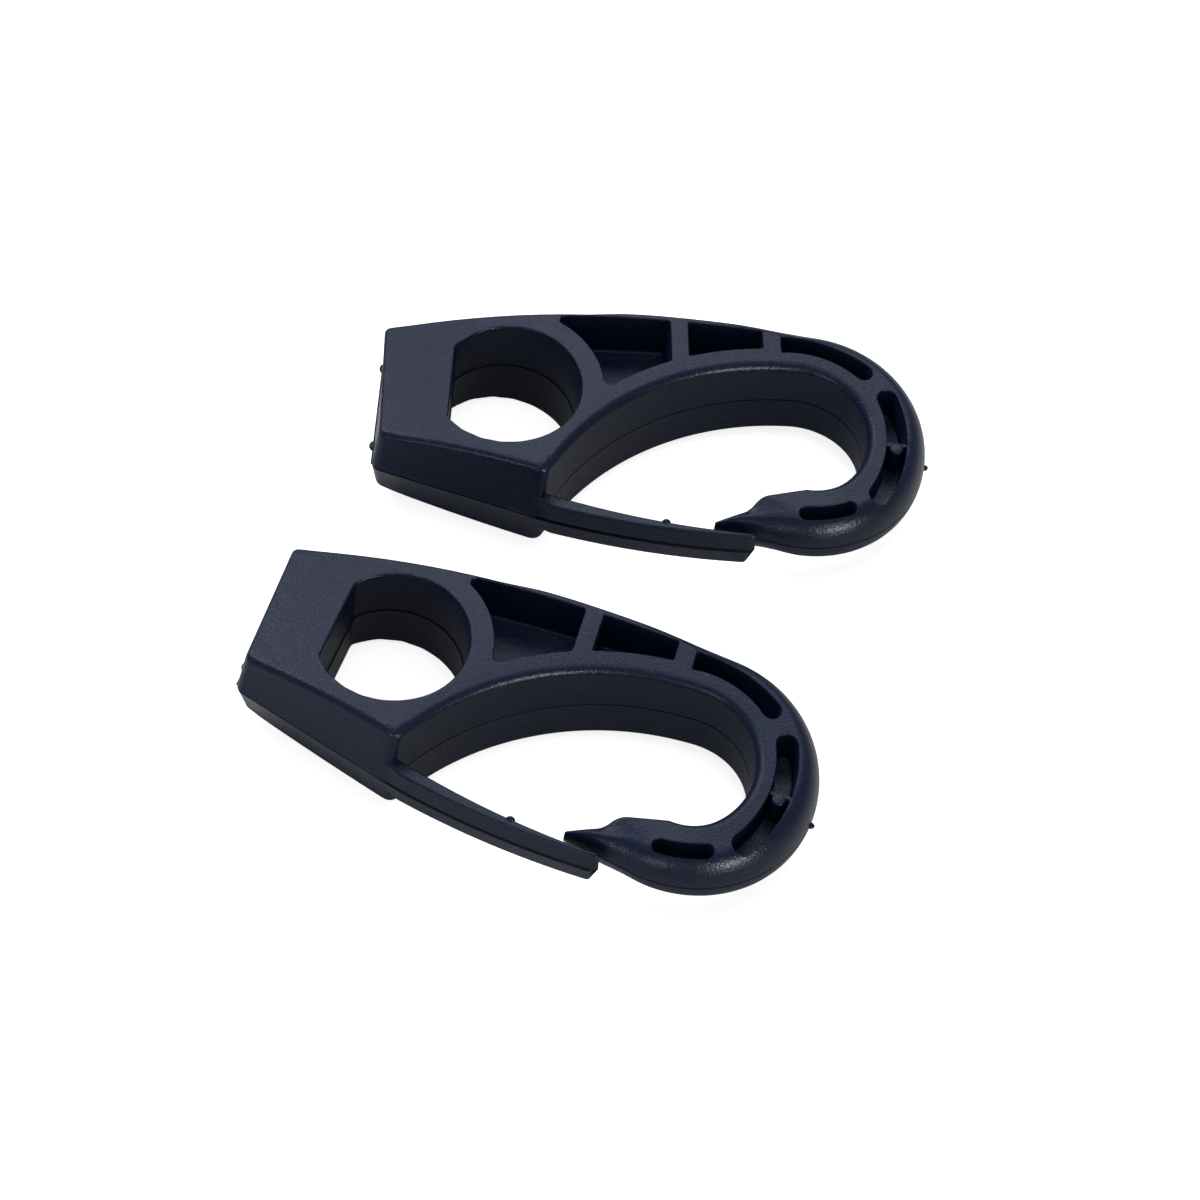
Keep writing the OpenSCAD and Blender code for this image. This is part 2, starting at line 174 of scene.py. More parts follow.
def mesh_object(name: str, points: Array, faces: list[tuple[int, ...]]) -> bpy.types.Object:
    """Object at the origin from points in millimetres, with its faces turned outward.

    Args:
        name: name of the object and of its mesh.
        points: corners, one a row.
        faces: corner numbers of each face.

    Returns:
        The object, linked to the scene.
    """
    mesh = bpy.data.meshes.new(name)
    mesh.from_pydata((points * MM).tolist(), [], faces)
    mesh.validate()
    piece = bpy.data.objects.new(name, mesh)
    bpy.context.scene.collection.objects.link(piece)
    face_outward(piece)
    return piece


def face_outward(piece: bpy.types.Object) -> None:
    """Turns every face of a closed mesh outward, by the sign of its volume.

    Args:
        piece: the object of that mesh.
    """
    work = bmesh.new()
    work.from_mesh(piece.data)
    bmesh.ops.recalc_face_normals(work, faces=work.faces)
    if work.calc_volume(signed=True) < 0:
        bmesh.ops.reverse_faces(work, faces=work.faces)
    work.to_mesh(piece.data)
    work.free()


def ring_faces(rings: int, across: int) -> list[tuple[int, ...]]:
    """Quads of a grid of closed rings: corner (r, k) joins (r, k+1), (r+1, k+1), (r+1, k).

    Args:
        rings: number of rings.
        across: number of points on each ring.

    Returns:
        Corner numbers of each quad.
    """
    r, k = np.meshgrid(np.arange(rings - 1), np.arange(across), indexing="ij")
    a = r * across + k
    b = r * across + (k + 1) % across
    quads = np.stack([a, b, b + across, a + across], axis=-1).reshape(-1, 4)
    return [tuple(q) for q in quads.tolist()]


def stacked(name: str, levels: Array) -> bpy.types.Object:
    """Closed solid from a stack of outlines, with its first and last filled in.

    Args:
        name: name of the solid.
        levels: array (outline, around, 3) of points in millimetres.

    Returns:
        The solid.
    """
    count, across = levels.shape[:2]
    faces = ring_faces(count, across)
    faces.append(tuple(range(across)))
    faces.append(tuple(range((count - 1) * across, count * across)))
    return mesh_object(name, levels.reshape(-1, 3), faces)


def joined(pieces: list[bpy.types.Object], name: str) -> bpy.types.Object:
    """One object that holds the meshes of several, which don't touch each other.

    Args:
        pieces: the objects, which are removed.
        name: name of the new object.

    Returns:
        The new object.
    """
    points: list[Array] = []
    faces: list[tuple[int, ...]] = []
    start = 0
    for piece in pieces:
        mesh = piece.data
        co = np.empty(len(mesh.vertices) * 3)
        mesh.vertices.foreach_get("co", co)
        points.append(co.reshape(-1, 3) / MM)
        faces += [tuple(v + start for v in p.vertices) for p in mesh.polygons]
        start += len(mesh.vertices)
        bpy.data.objects.remove(piece)
        bpy.data.meshes.remove(mesh)
    mesh = bpy.data.meshes.new(name)
    mesh.from_pydata((np.vstack(points) * MM).tolist(), [], faces)
    whole = bpy.data.objects.new(name, mesh)
    bpy.context.scene.collection.objects.link(whole)
    return whole


def combine(piece: bpy.types.Object, tool: bpy.types.Object, cut: Cut) -> None:
    """Joins a tool solid to a piece, or takes it away, and removes the tool.

    Args:
        piece: the piece, which keeps its name and gets the new mesh.
        tool: the closed solid.
        cut: which of the two is done.
    """
    step = piece.modifiers.new("combine", "BOOLEAN")
    step.operation = cut.value
    step.solver = "MANIFOLD"
    step.object = tool
    bpy.context.view_layer.update()
    graph = bpy.context.evaluated_depsgraph_get()
    result = bpy.data.meshes.new_from_object(piece.evaluated_get(graph))
    piece.modifiers.clear()
    old = piece.data
    name = old.name
    piece.data = result
    bpy.data.meshes.remove(old)
    result.name = name
    mesh = tool.data
    bpy.data.objects.remove(tool)
    bpy.data.meshes.remove(mesh)


def turned(
    name: str, centre: Array, radii: Array, heights: Array, sides: int = 48
) -> bpy.types.Object:
    """Solid of revolution about a line along Z: (r cos a, r sin a, z) at each level.

    Args:
        name: name of the solid.
        centre: where the line crosses the plan.
        radii: radius of each level, of which a zero is kept open by a hair.
        heights: height of each level.
        sides: number of points round it.

    Returns:
        The solid.
    """
    a = np.linspace(0, 360, sides, endpoint=False)
    rings = np.stack([
        np.column_stack([polar(centre, max(r, 0.01), a), np.full(sides, z)])
        for r, z in zip(radii, heights)
    ])
    return stacked(name, rings)


@dataclass(frozen=True)
class Nub:
    """Small egg-shaped mark of the mould: its name, its middle and its three half sizes."""

    name: str
    at: tuple[float, float, float]
    size: tuple[float, float, float]

    def build(self) -> bpy.types.Object:
        """Closed egg: at + size * (cos u cos v, sin u cos v, sin v), v from -84 to 84 degrees.

        Returns:
            The nub.
        """
        v = np.radians(np.linspace(-84, 84, 13))[:, None]
        u = np.radians(np.linspace(0, 360, 24, endpoint=False))[None, :]
        ball = [np.cos(u) * np.cos(v), np.sin(u) * np.cos(v), np.sin(v) * np.ones_like(u)]
        return stacked(self.name, np.array(self.at) + np.array(self.size) * np.stack(ball, -1))


def finish_edges(piece: bpy.types.Object) -> None:
    """Smooth shading that breaks where faces meet at more than SMOOTH_UNDER degrees."""
    piece.data.shade_smooth()
    piece.data.set_sharp_from_angle(angle=math.radians(SMOOTH_UNDER))


# ---------------------------------------------------------------- finishes


@dataclass(frozen=True)
class MouldedNylon:
    """Fine matte moulded nylon: a deep tint, a spark-eroded grain and a parting line with painted
    shade.

    Attributes:
        name: material name.
        tint: base colour, linear.
        shade: base colour of the darker flow patches.
        seam_painted_shade: base colour along the parting line, a painted shade of its groove.
        bloom: how much lighter than the tint the fine freckles are.
        freckle: share of the bloom where a freckle is strongest.
        gloss: roughness where the mould was smoothest.
        matte: roughness where it was coarsest.
        seam_matte: roughness of the parting line.
        index: index of refraction.
        specular: strength of the mirror-like share, 0.5 for the plain index.
        specular_tint: colour of that share.
        patch_scale: flow patches for each metre.
        freckle_scale: freckles for each metre.
        gloss_scale: glossier spots for each metre.
        sink_scale: slow sink marks for each metre.
        grain_scale: grains for each metre.
        grain: height of the surface grain in metres.
        seam: half width of the parting line's painted shade and dulled gloss, in metres.
        seam_core: share of that half width that has the painted shade at its full darkness.
    """

    name: str
    tint: Colour = (0.0066, 0.0108, 0.031)
    shade: Colour = (0.0052, 0.0090, 0.027)
    seam_painted_shade: Colour = (0.0008, 0.0010, 0.0018)
    bloom: float = 1.35
    freckle: float = 0.55
    gloss: float = 0.27
    matte: float = 0.37
    seam_matte: float = 0.95
    index: float = 1.53
    specular: float = 0.155
    specular_tint: Colour = (0.84, 0.90, 1.0)
    patch_scale: float = 130.0
    freckle_scale: float = 2600.0
    gloss_scale: float = 1700.0
    sink_scale: float = 240.0
    grain_scale: float = 3000.0
    grain: float = 0.000022
    seam: float = 0.00018
    seam_core: float = 0.45

    def material(self) -> bpy.types.Material:
        """Builds the node tree.

        Returns:
            A material whose colour and gloss drift in soft patches, whose bump is a fine
            grain over slow sink marks, and which has a painted shade along the line z = 0, where
            the parting groove is.
        """
        made = bpy.data.materials.new(self.name)
        made.use_nodes = True
        tree = made.node_tree
        nodes, link = tree.nodes, tree.links.new
        nodes.clear()
        out = nodes.new("ShaderNodeOutputMaterial")
        skin = nodes.new("ShaderNodeBsdfPrincipled")
        link(skin.outputs["BSDF"], out.inputs["Surface"])
        place = nodes.new("ShaderNodeTexCoord").outputs["Object"]

        def noise(scale: float, detail: float, rough: float) -> bpy.types.NodeSocket:
            """Noise texture on the object's own coordinates.

            Args:
                scale: features for each metre.
                detail: number of finer layers.
                rough: strength of each layer against the one before.

            Returns:
                Its value.
            """
            node = nodes.new("ShaderNodeTexNoise")
            node.inputs["Scale"].default_value = scale
            node.inputs["Detail"].default_value = detail
            node.inputs["Roughness"].default_value = rough
            link(place, node.inputs["Vector"])
            return node.outputs["Fac"]

        def spread(
            value: bpy.types.NodeSocket,
            low: float,
            high: float,
            to_low: float = 0.0,
            to_high: float = 1.0,
        ) -> bpy.types.NodeSocket:
            """Maps low..high of a value smoothly to to_low..to_high.

            Args:
                value: the value.
                low: value that becomes to_low.
                high: value that becomes to_high.
                to_low: first end of the result.
                to_high: second end of the result.

            Returns:
                The result, held between its two ends.
            """
            node = nodes.new("ShaderNodeMapRange")
            node.interpolation_type = "SMOOTHSTEP"
            for key, number in zip(
                ("From Min", "From Max", "To Min", "To Max"), (low, high, to_low, to_high)
            ):
                node.inputs[key].default_value = number
            link(value, node.inputs["Value"])
            return node.outputs["Result"]

        def arithmetic(
            kind: str, a: bpy.types.NodeSocket, b: float | bpy.types.NodeSocket
        ) -> bpy.types.NodeSocket:
            """One arithmetic step on two values.

            Args:
                kind: name of the step.
                a: first value.
                b: second value, as a number or a socket.

            Returns:
                The result.
            """
            node = nodes.new("ShaderNodeMath")
            node.operation = kind
            link(a, node.inputs[0])
            if isinstance(b, float):
                node.inputs[1].default_value = b
            else:
                link(b, node.inputs[1])
            return node.outputs[0]

        def mixed(
            factor: bpy.types.NodeSocket,
            a: Colour | bpy.types.NodeSocket,
            b: Colour | bpy.types.NodeSocket,
        ) -> bpy.types.NodeSocket:
            """Colour from a to b by a factor.

            Args:
                factor: 0 for a and 1 for b.
                a: first colour.
                b: second colour.

            Returns:
                The colour.
            """
            node = nodes.new("ShaderNodeMix")
            node.data_type = "RGBA"
            link(factor, node.inputs["Factor"])
            for key, colour in (("A", a), ("B", b)):
                if isinstance(colour, tuple):
                    node.inputs[key].default_value = (*colour, 1.0)
                else:
                    link(colour, node.inputs[key])
            return node.outputs["Result"]

        patches = spread(noise(self.patch_scale, detail=3.0, rough=0.5), 0.35, 0.65)
        speck = spread(noise(self.freckle_scale, detail=3.0, rough=0.7), 0.3, 0.7)
        flow = mixed(patches, self.shade, self.tint)
        bloom = tuple(self.bloom * c for c in self.tint)
        freckled = mixed(arithmetic("MULTIPLY", speck, self.freckle), flow, bloom)

        # Painted shade: within seam of the parting plane z = 0 the base colour turns nearly
        # black, as the shade in the parting groove would, and the roughness rises there too.
        split = nodes.new("ShaderNodeSeparateXYZ")
        link(place, split.inputs["Vector"])
        height = arithmetic("ABSOLUTE", split.outputs["Z"], 0.0)
        core = self.seam_core * self.seam
        clear = spread(height, core, self.seam)
        link(mixed(clear, self.seam_painted_shade, freckled), skin.inputs["Base Color"])

        spots = noise(self.gloss_scale, detail=4.0, rough=0.7)
        rough = spread(spots, 0.3, 0.7, self.gloss, self.matte)
        dull = spread(height, core, self.seam, self.seam_matte, 0.0)
        link(arithmetic("MAXIMUM", rough, dull), skin.inputs["Roughness"])
        skin.inputs["IOR"].default_value = self.index
        skin.inputs["Specular IOR Level"].default_value = self.specular
        skin.inputs["Specular Tint"].default_value = (*self.specular_tint, 1.0)

        sinks = noise(self.sink_scale, detail=2.0, rough=0.5)
        grains = spread(noise(self.grain_scale, detail=2.0, rough=0.6), 0.25, 0.75)
        relief = arithmetic("ADD", grains, sinks)
        bump = nodes.new("ShaderNodeBump")
        bump.inputs["Strength"].default_value = 1.0
        bump.inputs["Distance"].default_value = self.grain
        link(relief, bump.inputs["Height"])
        link(bump.outputs["Normal"], skin.inputs["Normal"])
        return made


# ---------------------------------------------------------------- the hook's plan


@dataclass(frozen=True)
class HookPlan:
    """Sizes of one hook in millimetres, and the curves that they give on the parting plane.

    The bore's centre is the origin, and x runs from the tail to the bend. The limb runs from
    the tail block over the spine and round the bend to the beak. Each station is a pair of
    points, one on its outer and one on its inner side, with a half thickness.

    Attributes:
        tail_reach: from the bore's centre to the near corner of the tail's end.
        tail_skew: how much nearer the far corner of that end is.
        tail_w: width of the tail's end.
        front_reach: from the bore's centre to the block's front flank.
        front_slope: slope of that flank in degrees.
        spine_r: radius of the spine's outside.
        crest_x: where the spine is highest.
        rim_wall: width of the rim along the spine.
        ring_r: outer radius of the wall round the bore.
        pocket_from: where the first pocket starts.
        rib_1_x, rib_2_x: middles of the two ribs.
        rib_1_w, rib_2_w: widths of the two ribs.
        bend_c: centre of the bend.
        bend_r: radius of the bend's outside.
        bend_knee, bend_foot: angles on the bend at which its stations change their spacing.
        loop_back, loop_drop: from the bend's centre back and down to the loop's.
        loop_r: radius of the loop's turn.
        loop_long_r: radius of the loop's long side under the spine.
        loop_lean: how far past straight up those two arcs meet, in degrees.
        throat_r: radius of the throat.
        throat_turn: angle at which the loop's turn meets the throat.
        throat_slope: slope of the throat's end towards the step.
        long_wall: wall between the pockets and the loop's long side.
        loop_wall: wall between the last pocket and the loop's turn.
        flank_turn: angle on the bend at which the nose's straight outside starts.
        flank_len: length of that outside.
        seat_len, seat_slope: length and slope of the line from the beak's tip to the foot of
            the step behind it.
        step_run: run of that step.
        hump_cut, foot_cut: how far from its two corners the step is rounded.
        tip_w: width of the beak's tip.
        crest_t, tail_t, nose_t, tip_t: thickness at its most, which is at the root, and at
            tail, nose and beak.
        slot_r, slot_w, slot_side, slot_ends: the long slot's radius, width, centre from the
            bend's, and angles of its ends.
        post_at: angle of the post in that slot.
        nose_slot_r, nose_slot_w, nose_slot_side, nose_slot_ends: the same for the short slot.
        pocket_end: angle at which the last pocket ends.
        last_side, last_more: centre of the last pocket's rim from the bend's, and how much
            larger than the bend's its radius is.
        root_cut: how far from its corner the root is rounded.
        root_clear: distance round the root that only the root's own stations stand in.
        root_past: how far past the root the block's even stations reach on the spine.
        root_turns: number of stations round the root.
        tip_cut: how far from its corner the first pocket's sharp end is rounded.
        end_turns: number of stations that round the tail's end.
        end_run: length from the end over which they stand.
        far_corner_r, near_corner_r, end_edge_r: roundings of the end's far corner, its near
            corner and its edges above and below.
        detail: fineness of the other stations.
        curves: the stations, worked out from all of these.
    """

    tail_reach: float = 16.93
    tail_skew: float = 1.48
    tail_w: float = 18.8
    front_reach: float = 13.5
    front_slope: float = 18.3
    spine_r: float = 223.0
    crest_x: float = 15.6
    rim_wall: float = 2.2
    ring_r: float = 12.05
    pocket_from: float = 6.8
    rib_1_x: float = 22.0
    rib_2_x: float = 34.0
    rib_1_w: float = 2.2
    rib_2_w: float = 2.3
    bend_c: tuple[float, float] = (38.5, -3.1)
    bend_r: float = 15.5
    bend_knee: float = -48.0
    bend_foot: float = -94.0
    loop_back: float = 1.6
    loop_drop: float = 0.9
    loop_r: float = 8.9
    loop_long_r: float = 34.5
    loop_lean: float = 2.5
    throat_r: float = 6.0
    throat_turn: float = -45.0
    throat_slope: float = 11.0
    long_wall: float = 3.1
    loop_wall: float = 2.7
    flank_turn: float = 103.0
    flank_len: float = 9.0
    seat_len: float = 4.6
    seat_slope: float = 19.0
    step_run: float = 1.3
    hump_cut: float = 1.1
    foot_cut: float = 0.7
    tip_w: float = 0.5
    crest_t: float = 15.4
    tail_t: float = 10.7
    nose_t: float = 7.4
    tip_t: float = 2.0
    slot_r: float = 16.0
    slot_w: float = 2.8
    slot_side: tuple[float, float] = (-4.9, -0.9)
    slot_ends: tuple[float, float] = (19.5, -34.0)
    post_at: float = -7.0
    nose_slot_r: float = 14.4
    nose_slot_w: float = 2.05
    nose_slot_side: tuple[float, float] = (-0.2, 1.6)
    nose_slot_ends: tuple[float, float] = (-71.0, -93.0)
    pocket_end: float = 51.2
    last_side: tuple[float, float] = (-3.1, -4.6)
    last_more: float = 2.4
    root_cut: float = 1.35
    root_clear: float = 3.9
    root_past: float = 5.0
    root_turns: int = 9
    tip_cut: float = 2.1
    end_turns: int = 13
    end_run: float = 1.2
    far_corner_r: float = 0.7
    near_corner_r: float = 0.9
    end_edge_r: float = 0.4
    detail: int = 3
    curves: dict[str, Array] = field(default_factory=dict, init=False, repr=False)

    def __post_init__(self) -> None:
        """Works the curves out once."""
        self.curves.update(self._stations())

    @property
    def bend(self) -> Array:
        """Centre of the bend."""
        return np.array(self.bend_c)

    @property
    def loop(self) -> Array:
        """Centre of the loop's turn."""
        return self.bend - (self.loop_back, self.loop_drop)

    @property
    def spine(self) -> Array:
        """Centre of the spine's arc, which meets the bend's circle tangentially."""
        fall = math.sqrt((self.spine_r - self.bend_r) ** 2 - (self.bend_c[0] - self.crest_x) ** 2)
        return np.array([self.crest_x, self.bend_c[1] - fall])

    @property
    def long_side(self) -> Array:
        """Centre of the loop's long arc under the spine."""
        return polar(self.loop, -(self.loop_long_r - self.loop_r), 90 - self.loop_lean)

    @property
    def front_out(self) -> Array:
        """Outward direction of the block's front flank."""
        a = math.radians(self.front_slope)
        return np.array([-math.sin(a), -math.cos(a)])

    @property
    def front_dir(self) -> Array:
        """Direction of the front flank from tail to root."""
        return np.array([-self.front_out[1], self.front_out[0]])

    @property
    def root(self) -> Array:
        """Corner where the front flank meets the loop's long side."""
        off = self.front_reach - self.long_side @ self.front_out
        half = math.sqrt(self.loop_long_r**2 - off**2)
        return self.long_side + off * self.front_out - half * self.front_dir

    @property
    def slot_c(self) -> Array:
        """Centre of the long slot's arc."""
        return self.bend + self.slot_side

    @property
    def post(self) -> Array:
        """Centre of the post in the long slot."""
        return polar(self.slot_c, self.slot_r, self.post_at)

    @property
    def flank_dir(self) -> Array:
        """Direction of the nose's straight outside, towards the beak."""
        a = math.radians(self.flank_turn)
        return np.array([-math.sin(a), -math.cos(a)])

    @property
    def flank_out(self) -> Array:
        """Outward direction of the nose's straight outside."""
        a = math.radians(self.flank_turn)
        return np.array([math.cos(a), -math.sin(a)])

    @property
    def beak(self) -> Array:
        """Outer corner of the beak's tip."""
        return polar(self.bend, self.bend_r, -self.flank_turn) + self.flank_len * self.flank_dir

    def _stations(self) -> dict[str, Array]:
        """Outer and inner points, mid length and half thickness of every station.

        The half thickness rises as crest - (crest - tail)(1 - s/c)^2 up to the thickest
        station, which is at the root, falls as ((s - c)/(n - c))^1.5 to the nose, and as
        ((s - n)/(e - n))^1.5 to the beak.

        Returns:
            The arrays outer, inner, s and half, the three lengths c, n and e as marks, and
            the numbers of the stations round the root as corner.
        """
        q = self.detail
        block_n, span_n, turn_n, throat_n, lip_n = 9, 16 * q, 20 * q, 9 * q, 4 * q
        spine, bend, loop = self.spine, self.bend, self.loop
        spine_tail = math.degrees(
            math.acos((self.tail_skew - self.tail_reach - self.crest_x) / self.spine_r)
        )
        spine_end = math.degrees(math.atan2(*(bend - spine)[::-1]))
        root = self.root
        past = root[0] + self.root_past
        root_top = math.degrees(math.acos((past - self.crest_x) / self.spine_r))
        reach = (-self.tail_reach - self.front_reach * self.front_out[0]) / self.front_dir[0]
        front_tail = self.front_reach * self.front_out + reach * self.front_dir
        ease = self.end_run * (1 - np.cos(np.radians(np.linspace(0, 90, self.end_turns))))

        def fall(radius: float) -> Array:
            """Drop of a quarter circle of that radius at each of the first stations."""
            gap = radius - np.minimum(ease, radius)
            return radius - np.sqrt(radius**2 - gap**2)

        up = np.array([0.0, 1.0])
        block = np.linspace(spine_tail, root_top, block_n + 1)[1:]
        outer = [
            polar(spine, self.spine_r, spine_tail - np.degrees(ease / self.spine_r))
            - np.outer(fall(self.far_corner_r), up),
            polar(spine, self.spine_r, block),
            arc(spine, self.spine_r, root_top, spine_end, span_n)[1:],
            arc(bend, self.bend_r, spine_end, self.bend_knee, turn_n)[1:],
            arc(bend, self.bend_r, self.bend_knee, self.bend_foot, throat_n)[1:],
            arc(bend, self.bend_r, self.bend_foot, -self.flank_turn, lip_n)[1:],
            straight(polar(bend, self.bend_r, -self.flank_turn), self.beak, 3 * lip_n + 1)[1:],
        ]
        long_turn = math.degrees(math.atan2(*(root - self.long_side)[::-1])) % 360
        throat_c = polar(loop, self.loop_r - self.throat_r, self.throat_turn)
        throat_end = -(90 + self.throat_slope)
        floor = polar(throat_c, self.throat_r, throat_end)
        slope = math.radians(self.seat_slope)
        foot = self.beak + self.seat_len * np.array([math.cos(slope), math.sin(slope)])
        rise = floor[0] - foot[0] - self.step_run
        hump = floor - rise * np.array([1.0, math.tan(math.radians(self.throat_slope))])
        step = float(np.linalg.norm(hump - foot))
        hump_cut, foot_cut = min(self.hump_cut, 0.55 * step), min(self.foot_cut, 0.35 * step)
        tip = self.beak - self.tip_w * self.flank_out
        inner = [
            front_tail + ease[:, None] * self.front_dir + np.outer(fall(self.near_corner_r), up),
            straight(front_tail, root, block_n)[1:],
            arc(self.long_side, self.loop_long_r, long_turn, 90 - self.loop_lean, span_n)[1:],
            arc(loop, self.loop_r, 90 - self.loop_lean, self.throat_turn, turn_n)[1:],
            arc(throat_c, self.throat_r, self.throat_turn, throat_end, throat_n)[1:],
            straight(floor, hump + hump_cut * unit(floor - hump), lip_n)[1:],
            rounded_corner(floor, hump, foot, hump_cut, lip_n)[1:],
            rounded_corner(hump, foot, tip, foot_cut, lip_n),
            straight(foot + foot_cut * unit(tip - foot), tip, lip_n)[1:],
        ]
        o, i = np.vstack(outer), np.vstack(inner)
        crest = len(ease) + block_n - 1
        turn_s = np.linspace(-1.0, 1.0, self.root_turns)
        around = polar(spine, self.spine_r, root_top - np.degrees(turn_s / self.spine_r))
        keep = np.linalg.norm(i - root, axis=1) > self.root_clear
        keep[: crest + 1] = False
        o = np.vstack([o[:crest], around, o[keep]])
        i = np.vstack([i[:crest], self.turned_root(root), i[keep]])
        crest += self.root_turns // 2
        mid = (o + i) / 2
        s = np.concatenate([[0.0], np.cumsum(np.linalg.norm(np.diff(mid, axis=0), axis=1))])
        nose = len(o) - 1 - (2 * lip_n + 1) - lip_n
        sc, sn, se = s[crest], s[nose], s[-1]
        block_t = self.crest_t + (self.tail_t - self.crest_t) * np.abs(1 - s / sc) ** 2
        limb_t = self.crest_t + (self.nose_t - self.crest_t) * np.abs((s - sc) / (sn - sc)) ** 1.5
        lip_t = self.nose_t + (self.tip_t - self.nose_t) * np.abs((s - sn) / (se - sn)) ** 1.5
        half = np.where(s <= sc, block_t, np.where(s <= sn, limb_t, lip_t)) / 2
        half[: len(ease)] -= fall(self.end_edge_r)
        marks = np.array([sc, sn, se])
        corner = np.arange(self.root_turns) + crest - self.root_turns // 2
        return {"outer": o, "inner": i, "s": s, "half": half, "marks": marks, "corner": corner}

    def turned_root(self, at: Array) -> Array:
        """Root corner rounded at one level: (1-t)^2 p + 2t(1-t) x + t^2 q.

        Args:
            at: the sharp corner x, as one point or one point for each level.

        Returns:
            Array (turn, ..., 2), where p lies root_cut before x on the front flank and q
            root_cut past it on the loop's wall.
        """
        radial = unit(self.root - self.long_side)
        wall_dir = np.array([radial[1], -radial[0]])
        at = np.asarray(at)
        t = np.linspace(0.0, 1.0, self.root_turns).reshape(-1, *(1,) * at.ndim)
        p, q = at - self.root_cut * self.front_dir, at + self.root_cut * wall_dir
        return (1 - t) ** 2 * p + 2 * t * (1 - t) * at + t**2 * q

    def strip(self, x0: float, x1: float, count: int = 40) -> Array:
        """Outline between the spine's rim and the loop's wall.

        Args:
            x0: where it starts.
            x1: where it ends.
            count: number of points on each of its two long sides.

        Returns:
            The upper side from x0 to x1, then the lower side back.
        """
        x = np.linspace(x0, x1, count)
        rim, under = self.spine_r - self.rim_wall, self.loop_long_r + self.long_wall
        top = self.spine[1] + np.sqrt(rim**2 - (x - self.spine[0]) ** 2)
        low = self.long_side[1] + np.sqrt(under**2 - (x - self.long_side[0]) ** 2)
        return np.vstack([np.stack([x, top], 1), np.stack([x, low], 1)[::-1]])

    def first_pocket(self) -> Array:
        """Outline of the pocket that curves round the tail bore's wall.

        It is the strip between rim and loop wall as far as it lies outside the ring, closed
        by an arc of the ring, with its sharp lower end rounded.

        Returns:
            The outline.
        """
        ring = self.ring_r
        x1 = self.rib_1_x - self.rib_1_w / 2
        fine = 400
        strip = self.strip(self.pocket_from, x1, fine)
        top, low = strip[:fine], strip[fine:][::-1]
        top = top[np.linalg.norm(top, axis=1) > ring]
        low = low[np.linalg.norm(low, axis=1) > ring]
        a0 = math.degrees(math.atan2(low[0][1], low[0][0]))
        a1 = math.degrees(math.atan2(top[0][1], top[0][0]))
        around = arc(np.zeros(2), ring, a0, a1, 60)[1:-1]
        tip = low[0]
        low = low[np.linalg.norm(low - tip, axis=1) > self.tip_cut]
        around = around[np.linalg.norm(around - tip, axis=1) > self.tip_cut]
        turn = rounded_corner(low[0], tip, around[0], self.tip_cut, 12)
        return np.vstack([top, low[::-1], turn, around])

    def second_pocket(self) -> Array:
        """Outline of the pocket between the two ribs."""
        return self.strip(self.rib_1_x + self.rib_1_w / 2, self.rib_2_x - self.rib_2_w / 2)

    def third_pocket(self) -> Array:
        """Outline of the last pocket, which ends round at the start of the bend.

        Two arcs bound it, one about the loop's centre. The end is the half circle on the line
        from the far arc's last point towards the bend's centre, out to the near arc.

        Returns:
            The outline.
        """
        x0 = self.rib_2_x + self.rib_2_w / 2
        rim, turn = self.bend_r + self.last_more, self.loop_r + self.loop_wall
        centre = self.bend + self.last_side
        far_from = math.degrees(math.acos((x0 - centre[0]) / rim))
        far = arc(centre, rim, far_from, self.pocket_end, 40)
        across = unit(self.bend - far[-1])
        reach = (far[-1] - self.loop) @ across
        span = float(np.sum((far[-1] - self.loop) ** 2))
        foot = far[-1] + (-reach - math.sqrt(reach**2 - span + turn**2)) * across
        near_from = math.degrees(math.atan2(*(foot - self.loop)[::-1]))
        near_to = math.degrees(math.acos((x0 - self.loop[0]) / turn))
        near = arc(self.loop, turn, near_from, near_to, 40)
        width = float(np.linalg.norm(foot - far[-1])) / 2
        end = arc((foot + far[-1]) / 2, width, self.pocket_end, self.pocket_end - 180, 24)[1:]
        return np.vstack([far, end, near[1:]])

    @staticmethod
    def band(centre: Array, radius: float, start: float, end: float, width: float) -> Array:
        """Outline of a curved slot of even width with round ends.

        Args:
            centre: centre of its arc.
            radius: radius of its middle line.
            start: angle of one end.
            end: angle of the other.
            width: width of the slot.

        Returns:
            The outline.
        """
        return np.vstack([
            arc(centre, radius + width / 2, start, end, 80),
            arc(polar(centre, radius, end), width / 2, end, end - 180, 20)[1:],
            arc(centre, radius - width / 2, end, start, 80)[1:],
            arc(polar(centre, radius, start), width / 2, start + 180, start, 20)[1:-1],
        ])

    def long_slot(self) -> Array:
        """Outline of the long slot in the bend."""
        return self.band(self.slot_c, self.slot_r, *self.slot_ends, self.slot_w)

    def nose_slot(self) -> Array:
        """Outline of the short slot in the nose."""
        centre = self.bend + self.nose_slot_side
        return self.band(centre, self.nose_slot_r, *self.nose_slot_ends, self.nose_slot_w)


# ---------------------------------------------------------------- the body


